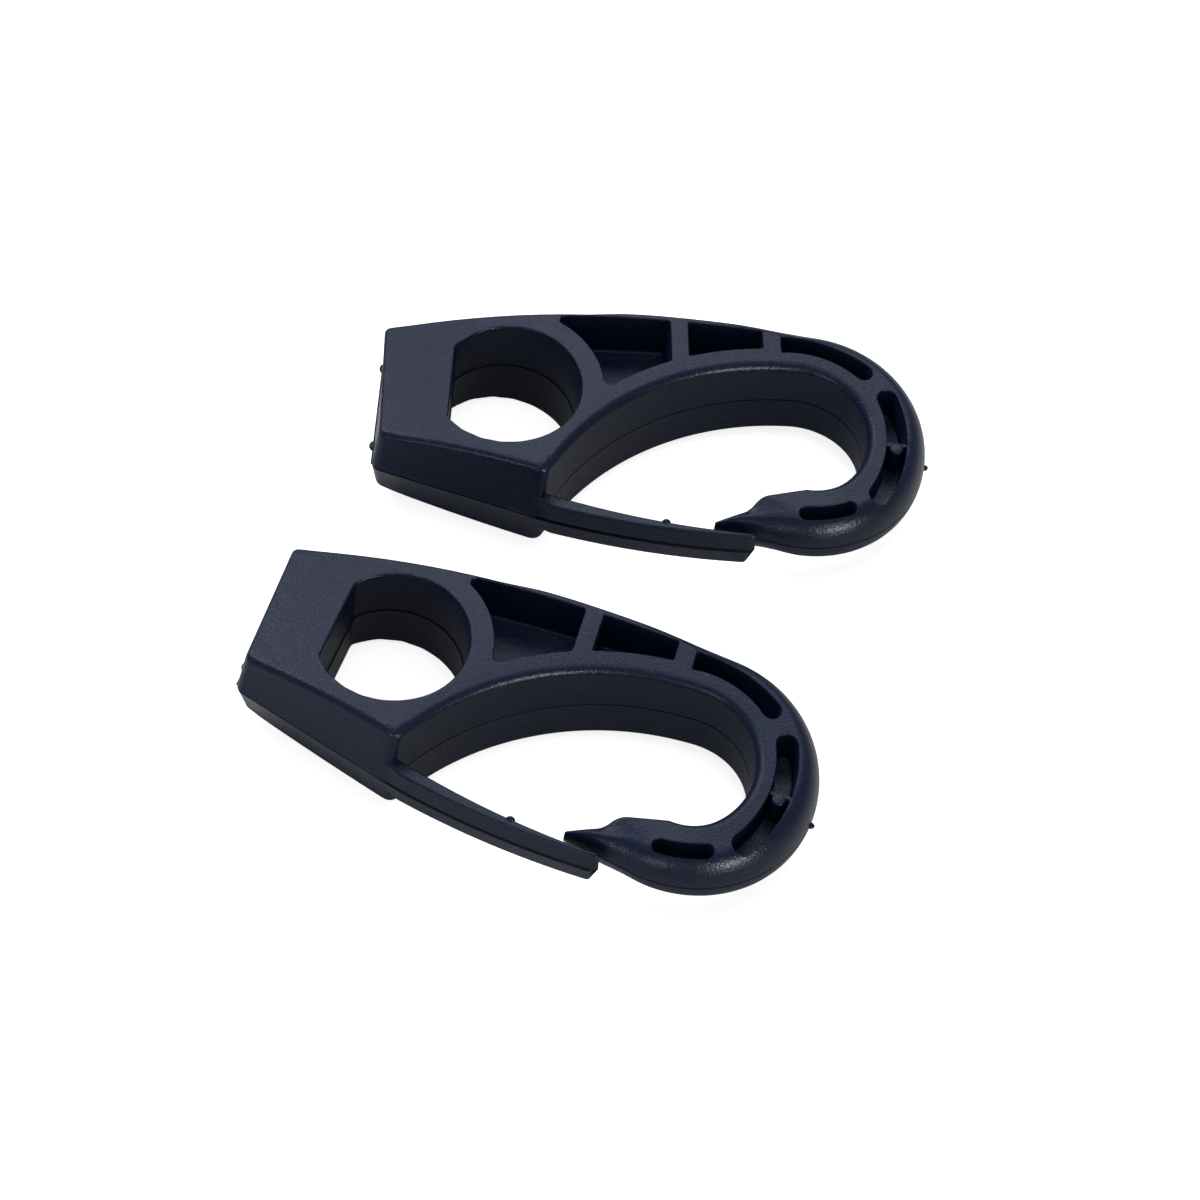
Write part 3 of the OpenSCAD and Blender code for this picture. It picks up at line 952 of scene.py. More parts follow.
@dataclass
class HookBody:
    """The moulded body of one hook: block, spine, bend and nose in one skin.

    Lengths are in millimetres and leans are set-backs for each unit of height. Lengths along
    the limb are counted past its thickest station, at the root, or before the nose.

    Attributes:
        plan: the curves that it follows.
        front_lean: lean of the front flank.
        spine_lean: lean of the spine's outside at the root.
        spine_more: how much more it leans at the tail.
        spine_less, less_over: how much less it leans past the root, and over what length.
        loop_lean: lean of the loop's wall.
        far_lean, near_lean: lean of the tail's end at its far and near corner.
        lean_over: length over which the tail's end leans.
        edge_round: rounding of the block's far top edge.
        front_round: rounding of its front top edge.
        loop_round: rounding of the loop's top edge.
        nose_round: rounding of the same edge at the nose.
        nose_over: length over which the one becomes the other.
        round_share: largest share of the limb's width that a rounding takes.
        round_from, round_over: where the spine's outside starts to bulge, and over what length.
        spine_round: set-back of the spine's outside where it starts to be round.
        bend_round: set-back of the bend's fully rounded outside at its top.
        swell_from, swell_over: where the first set-back grows to the second.
        swell_share: largest share of the limb's width that the set-back takes.
        bore_r: radius of the bore where its two tapers meet.
        bore_open: radius of the bore at the faces.
        bore_flat: distance of the bore's flat from its centre at the parting plane.
        flat_draft: how much farther the flat is at the faces.
        bore_lip: rounding of the bore's lips.
        web_half: half thickness of the web under the pockets.
        draft: lean of the pockets' walls.
        inset: how much tighter a pocket is than its outline.
        lip: rounding of the pockets' lips.
        pocket_fillet, slot_fillet: rounding of the floors of pockets and slots.
        wall_step: distance between the points of an even outline.
        seam: depth of the parting groove.
        seam_top: height at which the groove ends.
        flank_foot: height of a flank's third level, at which a bulge's even levels start too.
        bulge_foot: height of a bulge's third level.
        mark_at, mark_r, mark_sink: the ejector mark's middle, its radius at the floor and
            above it, and its depth.
        post_r, post_round, post_drop: the post's radius, the rounding of its top, and how far
            that stays below the surface.
        rib_on, rib_drop, rib_half: how far along the slot the thin rib stands from the post's
            middle, how far it stays below the surface, and its two half sizes.
        fin_near, fin_far: the ends of the tail's thin flash, across the tail.
        fin_back: how much farther back the tail's end is at fin_far than at its far corner.
        flash, fin_half, fin_deep: how far the flash stands out, its half thickness and its
            hidden depth in the block.
        nubs: the small marks at tail and bend.
        profile: number of levels on each side of a cross-section.
        columns: number of evenly spaced points across its top.
    """

    plan: HookPlan
    front_lean: float = 0.27
    spine_lean: float = 0.25
    spine_more: float = 0.06
    spine_less: float = 0.05
    less_over: float = 7.0
    loop_lean: float = 0.04
    far_lean: float = -0.03
    near_lean: float = 0.11
    lean_over: float = 3.0
    edge_round: float = 0.4
    front_round: float = 0.9
    loop_round: float = 1.15
    nose_round: float = 0.45
    nose_over: float = 14.0
    round_share: float = 0.2
    round_from: float = 10.0
    round_over: float = 20.0
    spine_round: float = 2.2
    bend_round: float = 2.85
    swell_from: float = 20.0
    swell_over: float = 12.0
    swell_share: float = 0.55
    bore_r: float = 8.9
    bore_open: float = 9.22
    bore_flat: float = 7.05
    flat_draft: float = 0.2
    bore_lip: float = 0.22
    web_half: float = 0.9
    draft: float = 0.02
    inset: float = 0.18
    lip: float = 0.16
    pocket_fillet: float = 0.35
    slot_fillet: float = 0.3
    wall_step: float = 0.12
    seam: float = 0.13
    seam_top: float = 0.12
    flank_foot: float = 0.45
    bulge_foot: float = 0.3
    mark_at: tuple[float, float] = (13.9, 7.5)
    mark_r: tuple[float, float] = (1.95, 2.05)
    mark_sink: float = 0.1
    post_r: float = 0.875
    post_round: float = 0.3
    post_drop: float = 0.15
    rib_on: float = 1.0
    rib_drop: float = 0.95
    rib_half: tuple[float, float] = (1.5, 0.3)
    fin_near: float = -7.9
    fin_far: float = 7.6
    fin_back: float = 0.25
    flash: float = 0.14
    fin_half: float = 0.06
    fin_deep: float = 0.4
    nubs: tuple[Nub, ...] = (
        Nub("tail_nub_far", (-15.75, 7.4, 0.0), (0.42, 0.7, 0.28)),
        Nub("tail_nub_near", (-16.75, -5.1, 0.0), (0.55, 0.75, 0.32)),
        Nub("bend_nub", (53.9, -5.2, 0.0), (0.5, 0.4, 0.4)),
    )
    profile: int = 15
    columns: int = 14

    def flank(self, half: Array, lean: Array, radius: Array) -> Array:
        """Leaning wall with a rounded top edge, as set-back and height.

        A straight of slope lean up to half - radius, then a quarter circle.

        Args:
            half: half thickness of each station.
            lean: set-back for each unit of height.
            radius: edge rounding.

        Returns:
            Array (station, level, 2).
        """
        a = np.radians(np.linspace(0, 90, self.profile - 3))[None, :]
        r, h, m = radius[:, None], half[:, None], lean[:, None]
        back = m * (h - r) + r * (1 - np.cos(a))
        rise = h - r + r * np.sin(a)
        foot = np.array([0.0, self.seam_top, self.flank_foot])[None, :] * np.ones_like(h)
        seam = np.array([self.seam, 0.0, 0.0])[None, :]
        walls = np.stack([m * foot + seam, foot], axis=-1)
        return np.concatenate([walls, np.stack([back, rise], axis=-1)], axis=1)

    def bulge(self, half: Array, width: Array) -> Array:
        """Quarter ellipse w (1 - cos a), h sin a, with a fine seam at its foot.

        Args:
            half: half thickness h of each station.
            width: set-back w of each station at its top.

        Returns:
            Array (station, level, 2) of set-back and height.
        """
        a = np.radians(np.linspace(0, 90, self.profile - 3))[None, :]
        h, w = half[:, None], width[:, None]
        first = np.arcsin(np.minimum(self.flank_foot / half, 0.5))[:, None]
        a = first + (np.pi / 2 - first) * a / (np.pi / 2)
        foot = np.array([0.0, self.seam_top, self.bulge_foot])[None, :] * np.minimum(h, 1.0)
        turn = np.arcsin(np.minimum(foot / h, 0.4))
        seam = np.array([self.seam, 0.0, 0.0])[None, :]
        low = np.stack([w * (1 - np.cos(turn)) + seam, foot], axis=-1)
        high = np.stack([w * (1 - np.cos(a)), h * np.sin(a)], axis=-1)
        return np.concatenate([low, high], axis=1)

    def rings(self) -> Array:
        """Closed cross-sections of the limb, one for each station.

        Each runs up the outer side, over the top, down the inner side and back below. The
        outside changes from a leaning flank to a bulge by a smooth weight along the limb. The
        inside leans as the block's flank before the root and as the loop's wall past it, and
        the corner between the two is rounded at each level.

        Returns:
            Array (station, around, 3).
        """
        c = self.plan.curves
        o, i, s, half = c["outer"], c["inner"], c["s"], c["half"]
        sc, sn, _ = c["marks"]
        width = np.linalg.norm(o - i, axis=1)
        round_t = smooth((s - sc - self.round_from) / self.round_over)
        corner = c["corner"]
        past = np.arange(len(s)) >= corner[0]
        thin = smooth((s - sn + self.nose_over) / self.nose_over)
        most = self.round_share * width
        edge = np.minimum(self.edge_round, most)
        grown = smooth((s - sc - self.swell_from) / self.swell_over)
        swell = self.spine_round + (self.bend_round - self.spine_round) * grown
        swell = np.minimum(swell, self.swell_share * width)
        before = np.clip(1 - s / sc, 0, 1)
        less = self.spine_less * smooth((s - sc) / self.less_over)
        spine = self.spine_lean + self.spine_more * before**2 - less
        w = round_t[:, None, None]
        out_side = (1 - w) * self.flank(half, spine, edge) + w * self.bulge(half, swell)
        r_in = np.where(past, self.loop_round, self.front_round)
        r_in = np.minimum((1 - thin) * r_in + thin * self.nose_round, most)
        lean = np.where(past, self.loop_lean, self.front_lean)
        in_side = self.flank(half, lean, r_in)
        along = np.clip(1 - s / self.lean_over, 0, 1)[:, None]
        mo, mi = mitres(o, -1.0)[:, None, :], mitres(i, 1.0)[:, None, :]
        tail_dir = unit(np.array([self.plan.tail_skew, self.plan.tail_w]))
        first = self.plan.end_turns
        mo[:first] = -tail_dir / abs(mo[first] @ tail_dir)
        mi[:first] = tail_dir / abs(mi[first] @ tail_dir)

        def lifted(edge_xy: Array, move: Array, side: Array, tail_lean: float) -> Array:
            """Profile carried to its station: edge + move * set-back, at its height.

            Args:
                edge_xy: the limb's edge at each station.
                move: its move for each unit of set-back.
                side: set-back and height, station by station and level by level.
                tail_lean: extra lean along x at the tail's end.

            Returns:
                Array (station, level, 3).
            """
            xy = edge_xy[:, None, :] + move * side[..., :1]
            xy[..., 0] += tail_lean * along * side[..., 1]
            return np.concatenate([xy, side[..., 1:]], axis=-1)

        rise = lifted(o, mo, out_side, self.far_lean)
        fall = lifted(i, mi, in_side, self.near_lean)
        middle = int(corner[len(corner) // 2])
        sharp = self.plan.root + self._corner_move(in_side[middle], float(half[middle]))
        fall[corner, :, :2] = self.plan.turned_root(sharp)
        fall = fall[:, ::-1]
        t = np.concatenate([[0.025], np.linspace(0.08, 0.92, self.columns), [0.975]])
        top = rise[:, -1:] * (1 - t)[None, :, None] + fall[:, :1] * t[None, :, None]
        upper = np.concatenate([rise, top, fall], axis=1)
        lower = upper[:, -2:0:-1] * np.array([1.0, 1.0, -1.0])
        return np.concatenate([upper, lower], axis=1)

    def _corner_move(self, wall: Array, half: float) -> Array:
        """Plan move of the root corner at each height.

        The front flank stands back by a and the loop's wall by b, so the move x solves
        x.n = a and x.m = b, with n and m the two walls' normals into the body.

        Args:
            wall: set-back and height of the loop's wall, level by level.
            half: half thickness at the corner.

        Returns:
            One move for each level.
        """
        plan, r = self.plan, self.front_round
        z = wall[:, 1]
        over = np.clip(z - (half - r), 0, r)
        front = self.front_lean * np.minimum(z, half - r) + r - np.sqrt(r**2 - over**2)
        normals = np.stack([-plan.front_out, unit(plan.root - plan.long_side)])
        return np.linalg.solve(normals, np.stack([front, wall[:, 0]])).T

    def blank(self, name: str) -> tuple[bpy.types.Object, Array]:
        """The skin before anything is cut from it.

        Args:
            name: name of the body.

        Returns:
            The body, and the points of its upper surface.
        """
        rings = self.rings()
        count, around = rings.shape[:2]
        faces = ring_faces(count, around)
        half = around // 2
        for start in (0, (count - 1) * around):
            faces.append(tuple(start + k for k in range(half + 1)))
            faces.append(tuple(start + k % around for k in range(half, around + 1)))
        upper = rings[:, : half + 1].reshape(-1, 3)
        return mesh_object(name, rings.reshape(-1, 3), faces), upper

    @staticmethod
    def surface_height(skin: Array, loop: Array) -> Array:
        """Height of the upper surface over plan points.

        It is the mean of the four nearest points of the skin, weighed by the inverse square
        of their distance.

        Args:
            skin: points of the upper surface.
            loop: the plan points.

        Returns:
            One height for each plan point.
        """
        gap = np.sum((loop[:, None, :] - skin[None, :, :2]) ** 2, axis=-1) + 1e-6
        near = np.argpartition(gap, 4, axis=1)[:, :4]
        weight = 1 / np.take_along_axis(gap, near, axis=1)
        return np.sum(weight * skin[near, 2], axis=1) / np.sum(weight, axis=1)

    def hollow(
        self, name: str, loop: Array, skin: Array, side: Side, fillet: float
    ) -> bpy.types.Object:
        """Cutter of a pocket: drafted walls, a filleted floor and a softly rounded lip.

        Each level is the outline moved along its normals. The move is -fillet (1 - sin a)
        in the fillet, draft * rise on the wall, and + lip (1 - cos a) at the lip, whose
        height follows the surface, all less the inset.

        Args:
            name: name of the cutter.
            loop: outline of the pocket.
            skin: points of the upper surface.
            side: face that it opens to.
            fillet: radius between floor and wall.

        Returns:
            The cutter.
        """
        out = outward(loop)
        top = self.surface_height(skin, loop)
        floor = self.web_half
        clear = 0.3
        levels: list[Array] = []
        for a in np.radians(np.linspace(0, 90, 6)):
            move = -fillet * (1 - math.sin(a)) - self.inset
            z = np.full(len(loop), floor + fillet * (1 - math.cos(a)))
            levels.append(np.column_stack([loop + move * out, z]))
        for a in np.radians(np.linspace(0, 75, 5)):
            move = self.draft * (top - floor) + self.lip * (1 - math.cos(a)) - self.inset
            z = top - self.lip + self.lip * math.sin(a)
            levels.append(np.column_stack([loop + move[:, None] * out, z]))
        last = levels[-1].copy()
        last[:, :2] += clear * out
        last[:, 2] += clear
        levels.append(last)
        lid = last.copy()
        lid[:, 2] = self.plan.crest_t
        levels.append(lid)
        stack = np.stack(levels)
        stack[..., 2] *= side.value
        return stacked(name, stack)

    def bore(self, skin: Array) -> bpy.types.Object:
        """Cutter of the tail bore: a circle with a flat on its tail side.

        The radius is bore_r at the parting plane and grows evenly to bore_open at the face.
        The flat is square to the hook's length but for the skew of the tail's end. With b the
        angle from its normal, a point on its side lies at min(r, flat / -cos b), and the two
        corners are rounded. A fine seam stands in at the middle and the lips are soft.

        Args:
            skin: points of the upper surface.

        Returns:
            The cutter.
        """
        a = np.radians(np.linspace(0, 360, 240, endpoint=False))
        tilt = math.atan2(self.plan.tail_skew, self.plan.tail_w)
        step, blur, clear = 0.15, 0.6, 0.5

        def outline(radius: float, flat: float) -> Array:
            """Rounded outline of the bore at one level.

            Args:
                radius: radius of its circle.
                flat: distance of its flat from the centre.

            Returns:
                The outline.
            """
            toward = np.cos(a + tilt)
            on_flat = np.minimum(radius, flat / -np.minimum(toward, -1e-3))
            reach = np.where(toward < 0, on_flat, radius)
            loop = reach[:, None] * np.stack([np.cos(a), np.sin(a)], axis=1)
            return even_loop(loop, step, blur)

        flat_open = self.bore_flat + self.flat_draft
        count = len(outline(self.bore_r, self.bore_flat))
        rim = self.surface_height(skin, outline(self.bore_open, flat_open))
        rim = np.interp(np.linspace(0, 1, count), np.linspace(0, 1, len(rim)), rim)

        def level(radius: float, flat: float, z: float | Array) -> Array:
            """Outline at one level, walked with the same number of points at every level.

            Args:
                radius: radius of its circle.
                flat: distance of its flat from the centre.
                z: height, as one number or one for each point.

            Returns:
                Its points.
            """
            loop = outline(radius, flat)
            at = np.linspace(0, len(loop), count, endpoint=False)
            closed = np.vstack([loop, loop[:1]])
            index = np.arange(len(closed))
            xy = np.stack([np.interp(at, index, closed[:, k]) for k in (0, 1)], axis=1)
            return np.column_stack([xy, np.broadcast_to(z, (count,))])

        levels = [
            level(self.bore_r + move, self.bore_flat + move, z)
            for z, move in ((0.0, -self.seam), (self.seam_top, 0.0), (0.5, 0.02))
        ]
        for t in np.linspace(0.2, 1.0, 6):
            radius = self.bore_r + (self.bore_open - self.bore_r) * t
            flat = self.bore_flat + self.flat_draft * t
            levels.append(level(radius, flat, t * (rim - self.bore_lip)))
        for turn in np.radians(np.linspace(15, 80, 5)):
            more = self.bore_lip * (1 - math.cos(turn))
            z = rim - self.bore_lip * (1 - math.sin(turn))
            levels.append(level(self.bore_open + more, flat_open + more, z))
        for z in (rim + 0.3, self.plan.crest_t / 2 + 2.0):
            levels.append(level(self.bore_open + clear, flat_open + clear, z))
        upper = np.stack(levels)
        lower = upper[:0:-1] * np.array([1.0, 1.0, -1.0])
        return stacked("bore", np.concatenate([lower, upper]))

    def post_and_rib(self, half: float) -> list[bpy.types.Object]:
        """The post in the long slot and the thin rib that crosses the slot behind it.

        The post is a turned solid that is softly rounded at both ends, and the rib a low
        wall with rounded corners.

        Args:
            half: half thickness of the hook at the post.

        Returns:
            The post and the rib.
        """
        plan = self.plan
        top = half - self.post_drop - self.post_round
        turn = np.radians(np.linspace(0, 80, 6))
        core = self.post_r - self.post_round
        shaft = [self.post_r - 0.005, self.post_r]
        r = np.concatenate([shaft, core + self.post_round * np.cos(turn)])
        z = np.concatenate([[0.0, 1.0], top + self.post_round * np.sin(turn)])
        radii = np.concatenate([r[::-1], r[1:]])
        heights = np.concatenate([-z[::-1], z[1:]])
        pin = turned("post", plan.post, radii, heights, 40)
        angle = plan.post_at + math.degrees(self.rib_on / plan.slot_r)
        radial = polar(np.zeros(2), 1.0, angle)
        across = np.array([-radial[1], radial[0]])
        corner = np.array([[-1, -1], [1, -1], [1, 1], [-1, 1]]) * np.array(self.rib_half)
        middle = polar(plan.slot_c, plan.slot_r, angle)
        edge = even_loop(middle + corner @ np.stack([radial, across]), 0.1, 0.2)
        reach = half - self.rib_drop
        rib = np.stack([
            np.column_stack([edge - inset * outward(edge), np.full(len(edge), height)])
            for inset, height in (
                (0.08, -reach), (0.0, -reach + 0.1), (0.0, reach - 0.1), (0.08, reach)
            )
        ])
        return [pin, stacked("cross_rib", rib)]

    def hollows(self, skin: Array) -> bpy.types.Object:
        """Cutter of the bore, the pockets and the slots on both faces.

        Args:
            skin: points of the upper surface.

        Returns:
            All the cutters as one object.
        """
        plan = self.plan
        shapes = (
            ("pocket_1", plan.first_pocket(), 0.9, self.pocket_fillet),
            ("pocket_2", plan.second_pocket(), 0.6, self.pocket_fillet),
            ("pocket_3", plan.third_pocket(), 0.5, self.pocket_fillet),
            ("long_slot", plan.long_slot(), 0.3, self.slot_fillet),
            ("nose_slot", plan.nose_slot(), 0.3, self.slot_fillet),
        )
        tools = [self.bore(skin)]
        for side in Side:
            for name, shape, blur, fillet in shapes:
                loop = even_loop(shape, self.wall_step, blur)
                tools.append(self.hollow(name, loop, skin, side, fillet))
        return joined(tools, "hollows")

    def ejector_marks(self) -> bpy.types.Object:
        """Cutter of the round marks in the floors of the first pockets, above and below.

        Returns:
            Both cutters as one object.
        """
        centre, radii = np.array(self.mark_at), np.array(self.mark_r)
        heights = np.array([self.web_half - self.mark_sink, self.web_half + 0.6])
        marks = [turned("ejector_mark", centre, radii, side.value * heights) for side in Side]
        return joined(marks, "marks")

    def tail_fin(self) -> bpy.types.Object:
        """Thin flash along the parting line of the tail's end, as a flat four-cornered plate.

        Returns:
            The flash.
        """
        far = self.plan.tail_skew - self.plan.tail_reach - self.fin_back
        edge = np.array([[-self.plan.tail_reach, self.fin_near], [far, self.fin_far]])
        inner, outer = edge + (self.fin_deep, 0.0), edge - (self.flash, 0.0)
        rim = np.vstack([outer, inner[::-1]])
        levels = [np.column_stack([rim, np.full(4, z)]) for z in (-self.fin_half, self.fin_half)]
        return stacked("tail_flash", np.stack(levels))

    def build(self, name: str) -> bpy.types.Object:
        """Skin, minus bore, pockets, slots and ejector marks, plus post, rib, flash and nubs.

        Args:
            name: name of the body.

        Returns:
            The body.
        """
        body, skin = self.blank(name)
        combine(body, self.hollows(skin), Cut.AWAY)
        combine(body, self.ejector_marks(), Cut.AWAY)
        for piece in self.post_and_rib(self.post_half()):
            combine(body, piece, Cut.ON)
        combine(body, self.tail_fin(), Cut.ON)
        combine(body, joined([nub.build() for nub in self.nubs], "nubs"), Cut.ON)
        finish_edges(body)
        return body

    def post_half(self) -> float:
        """Half thickness at the post."""
        c = self.plan.curves
        mid = (c["outer"] + c["inner"]) / 2
        return float(c["half"][np.argmin(np.sum((mid - self.plan.post) ** 2, axis=1))])


# ---------------------------------------------------------------- the gate


@dataclass
class HookGate:
    """The springy gate: one tapering leaf on a shallow arc, from the root to past the beak.

    Lengths are in millimetres, and those along the leaf are counted from its root.

    Attributes:
        plan: the hook's curves.
        root_t: thickness at its root.
        tip_t: thickness at its tip.
        height: height across the parting line.
        start_back: how far before the root's corner its outer side starts.
        buried: how far it reaches back into the body.
        lap: how far it passes the beak's tip.
        gap: gap to the nose.
        slope: slope of its start against the hook's length, in degrees.
        lean: set-back of its outer side for each unit of height.
        root_lean: the same at its root.
        in_lean: the same of its inner side.
        stub: length over which the one lean becomes the other, before the living hinge.
        flex: length of the living hinge.
        hinge_in: depth of the hinge's line in from the outer side.
        edge_r: rounding of its edges.
        groove: depth of the parting groove in its sides.
        flash_half: height up to which a level belongs to the thin flash at its tip.
        upper_more: how much longer its upper half is at the tip.
        flash_more: how much longer the thin flash between the halves is.
        lower_less: how much shorter its lower half is.
        lower_slant: how far the lower half's end slants back at its bottom.
        tip_run: length over which these differences grow.
        tip_round: length of the rounded tip.
        tip_least: least scale of the section at the tip's end.
        tip_low: share of that scale by which the height shrinks too.
        mark_at, mark_in, mark_r, mark_sink: the ejector mark's place along the leaf, its
            depth in from the outer side, its radius below and above, and how deep it is sunk.
        nub_at, nub_in, nub_z, nub_size: the same places of the small nub on top, its height,
            and its three half sizes.
    """

    plan: HookPlan
    root_t: float = 2.4
    tip_t: float = 1.1
    height: float = 5.8
    start_back: float = 0.6
    buried: float = 0.9
    lap: float = 5.3
    gap: float = 1.1
    slope: float = 15.8
    lean: float = 0.11
    root_lean: float = 0.27
    in_lean: float = 0.08
    stub: float = 2.4
    flex: float = 4.2
    hinge_in: float = 1.1
    edge_r: float = 0.34
    groove: float = 0.28
    flash_half: float = 0.1
    upper_more: float = 0.22
    flash_more: float = 0.36
    lower_less: float = 0.3
    lower_slant: float = 0.1
    tip_run: float = 1.6
    tip_round: float = 0.6
    tip_least: float = 0.3
    tip_low: float = 0.15
    mark_at: float = 3.0
    mark_in: float = 1.25
    mark_r: tuple[float, float] = (0.62, 0.66)
    mark_sink: float = 0.07
    nub_at: float = 16.4
    nub_in: float = 1.35
    nub_z: float = 2.5
    nub_size: tuple[float, float, float] = (0.6, 0.45, 0.75)

    def curve(self) -> tuple[Array, float, float, float, float]:
        """Outer arc through its two ends, with the slope at its start.

        The radius is chord^2 / (2 chord.n), with n the unit normal at the start.

        Returns:
            Centre, radius, first angle, turn and length of the arc.
        """
        p = self.plan
        start = p.root - self.start_back * p.front_dir
        end = p.beak - self.lap * p.flank_dir + (self.gap + self.tip_t) * p.flank_out
        chord = end - start
        slope = math.radians(self.slope)
        out = -np.array([math.sin(slope), math.cos(slope)])
        radius = float(chord @ chord) / (2 * float(chord @ -out))
        centre = start - radius * out
        turn = 2 * math.degrees(math.asin(float(np.linalg.norm(chord)) / 2 / radius))
        first = math.degrees(math.atan2(*(start - centre)[::-1]))
        return centre, radius, first, turn, radius * math.radians(turn)

    def on_leaf(self, s: float, depth: float) -> Array:
        """Plan point at arc length s, depth in from the outer side."""
        centre, radius, first, turn, length = self.curve()
        return polar(centre, radius - depth, first + turn * s / length)

    def section(self, s: Array, tip: Array) -> Array:
        """Closed cross-sections at arc lengths s.

        Each side leans by its set-back, the edges are quarter circles of radius e, a fine
        seam is sunk at z = 0, and tip shrinks the section about its middle at the free end.

        Args:
            s: arc lengths.
            tip: scale of each section.

        Returns:
            Array (section, around, 3).
        """
        centre, radius, first, turn, length = self.curve()
        share = s / length
        angle = np.radians(first + turn * share)
        normal = np.stack([np.cos(angle), np.sin(angle)], axis=1)
        t = self.root_t + (self.tip_t - self.root_t) * np.clip(share, 0, 1)
        h, e = self.height / 2, self.edge_r
        a = np.radians(np.linspace(0, 90, 9))
        low = np.array([0.0, 0.2, 0.34, 0.6])
        cut = self.groove * np.array([1.0, 0.8, 0.0, 0.0])
        rise = np.concatenate([low, h - e + e * np.sin(a)])

        def back(lean: Array) -> Array:
            """Set-back of one side at each section and height."""
            tall = np.concatenate([low, np.full(len(a), h - e)])
            return lean[:, None] * tall + np.concatenate([cut, e * (1 - np.cos(a))])

        ease = smooth(s / self.stub)
        outer = radius - back((1 - ease) * self.root_lean + ease * self.lean)
        inner = (radius - t)[:, None] + back(np.full(len(s), self.in_lean))
        columns = 5
        mix = np.linspace(0.08, 0.92, columns)[None, :]
        top = outer[:, -1:] * (1 - mix) + inner[:, -1:] * mix
        across = np.concatenate([outer, top, inner[:, ::-1]], axis=1)
        up = np.concatenate([rise, np.full(columns, h), rise[::-1]])
        across = np.concatenate([across, across[:, -2:0:-1]], axis=1)
        up = np.concatenate([up, -up[-2:0:-1]])
        middle = (radius - t / 2)[:, None]
        across = middle + (across - middle) * tip[:, None]
        height = up[None, :] * (1 - (1 - tip[:, None]) * self.tip_low)
        xy = centre + across[..., None] * normal[:, None, :]
        onward = np.stack([-normal[:, 1], normal[:, 0]], axis=1)
        reach = np.where(up > 0, self.upper_more, self.lower_slant * up / h - self.lower_less)
        reach = np.where(np.abs(up) < self.flash_half, self.flash_more, reach)
        ramp = smooth((s - length + self.tip_run) / self.tip_run)
        xy = xy + (ramp[:, None] * reach[None, :])[..., None] * onward[:, None, :]
        return np.concatenate([xy, height[..., None]], axis=-1)

    def build(self, name: str) -> bpy.types.Object:
        """Leaf with a rounded tip, its ejector mark and its small nub.

        The tip's sections stand at length - r cos a and shrink as sqrt(1 - t^2), with t the
        share of the rounded length r that is passed.

        Args:
            name: name of the leaf.

        Returns:
            The leaf.
        """
        length = self.curve()[4]
        tip_from = length - self.tip_round
        even = np.linspace(-self.buried, tip_from, 150)
        at_tip = length - self.tip_round * np.cos(np.radians(np.linspace(6, 90, 12)))
        s = np.concatenate([even, at_tip])
        turn = np.clip((s - tip_from) / self.tip_round, 0, 1)
        tip = np.clip(np.sqrt(1 - turn**2), self.tip_least, 1)
        leaf = stacked(name, self.section(s, tip))
        heights = np.array([self.height / 2 - self.mark_sink, 4.0])
        place = self.on_leaf(self.mark_at, self.mark_in)
        mark = turned("gate_mark", place, np.array(self.mark_r), heights, 32)
        combine(leaf, mark, Cut.AWAY)
        seat = self.on_leaf(self.nub_at, self.nub_in)
        combine(leaf, Nub("gate_nub", (*seat, self.nub_z), self.nub_size).build(), Cut.ON)
        finish_edges(leaf)
        return leaf


# ---------------------------------------------------------------- the pair


@dataclass(frozen=True)
class HookPlace:
    """Where a hook lies.

    Attributes:
        letter: the letter in its pieces' names.
        x, y: its bore's centre in millimetres.
        turn: its turn in degrees.
    """

    letter: str
    x: float = 0.0
    y: float = 0.0
    turn: float = 0.0

    def matrix(self) -> Matrix:
        """Turn about Z, then a move, in metres."""
        spin = Matrix.Rotation(math.radians(self.turn), 4, "Z")
        return Matrix.Translation((self.x * MM, self.y * MM, 0.0)) @ spin

    def point(self, at: Array) -> tuple[float, float, float]:
        """A point of the hook's plan, in metres, where the hook lies.

        Args:
            at: the plan point in millimetres.

        Returns:
            The point in the frame.
        """
        v = self.matrix() @ Vector((float(at[0]) * MM, float(at[1]) * MM, 0.0))
        return (v.x, v.y, v.z)


@dataclass
class SnapHook:
    """One hook: its body and its gate.

    Attributes:
        place: where it lies.
        plan: its curves.
        finish: material of the body.
        gate_finish: material of the gate.
    """

    place: HookPlace
    plan: HookPlan
    finish: bpy.types.Material
    gate_finish: bpy.types.Material

    def build(self) -> list[bpy.types.Object]:
        """Makes both pieces, lays them in place, and ties the body to its frame.

        Returns:
            The body and the gate.
        """
        letter = self.place.letter
        body = HookBody(self.plan).build(f"hook_{letter}_shell")
        gate_form = HookGate(self.plan)
        gate = gate_form.build(f"hook_{letter}_leaf")
        for piece, finish in ((body, self.finish), (gate, self.gate_finish)):
            piece.data.transform(self.place.matrix())
            piece.data.materials.clear()
            piece.data.materials.append(finish)
        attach(body, f"hook_{letter}")
        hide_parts(f"hook_{letter}_body")
        start, end = (
            self.place.point(gate_form.on_leaf(s, gate_form.hinge_in))
            for s in (gate_form.stub, gate_form.stub + gate_form.flex)
        )
        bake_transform(gate)
        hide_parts(f"hook_{letter}_living_hinge", f"hook_{letter}_gate")
        for piece in (body, gate):
            LOG.info("%s: %d faces", piece.name, len(piece.data.polygons))
        return [body, gate]


# ---------------------------------------------------------------- the studio


@dataclass(frozen=True)
class Lamp:
    """One square soft lamp.

    Attributes:
        name: name of the lamp.
        azimuth: its direction from the pair in degrees, 0 behind it and 90 at its right.
        elevation: its height in degrees.
        size: side of the square in metres.
        power: watts.
        gloss_only: whether it shows in gloss alone.
    """

    name: str
    azimuth: float
    elevation: float
    size: float
    power: float
    gloss_only: bool = False


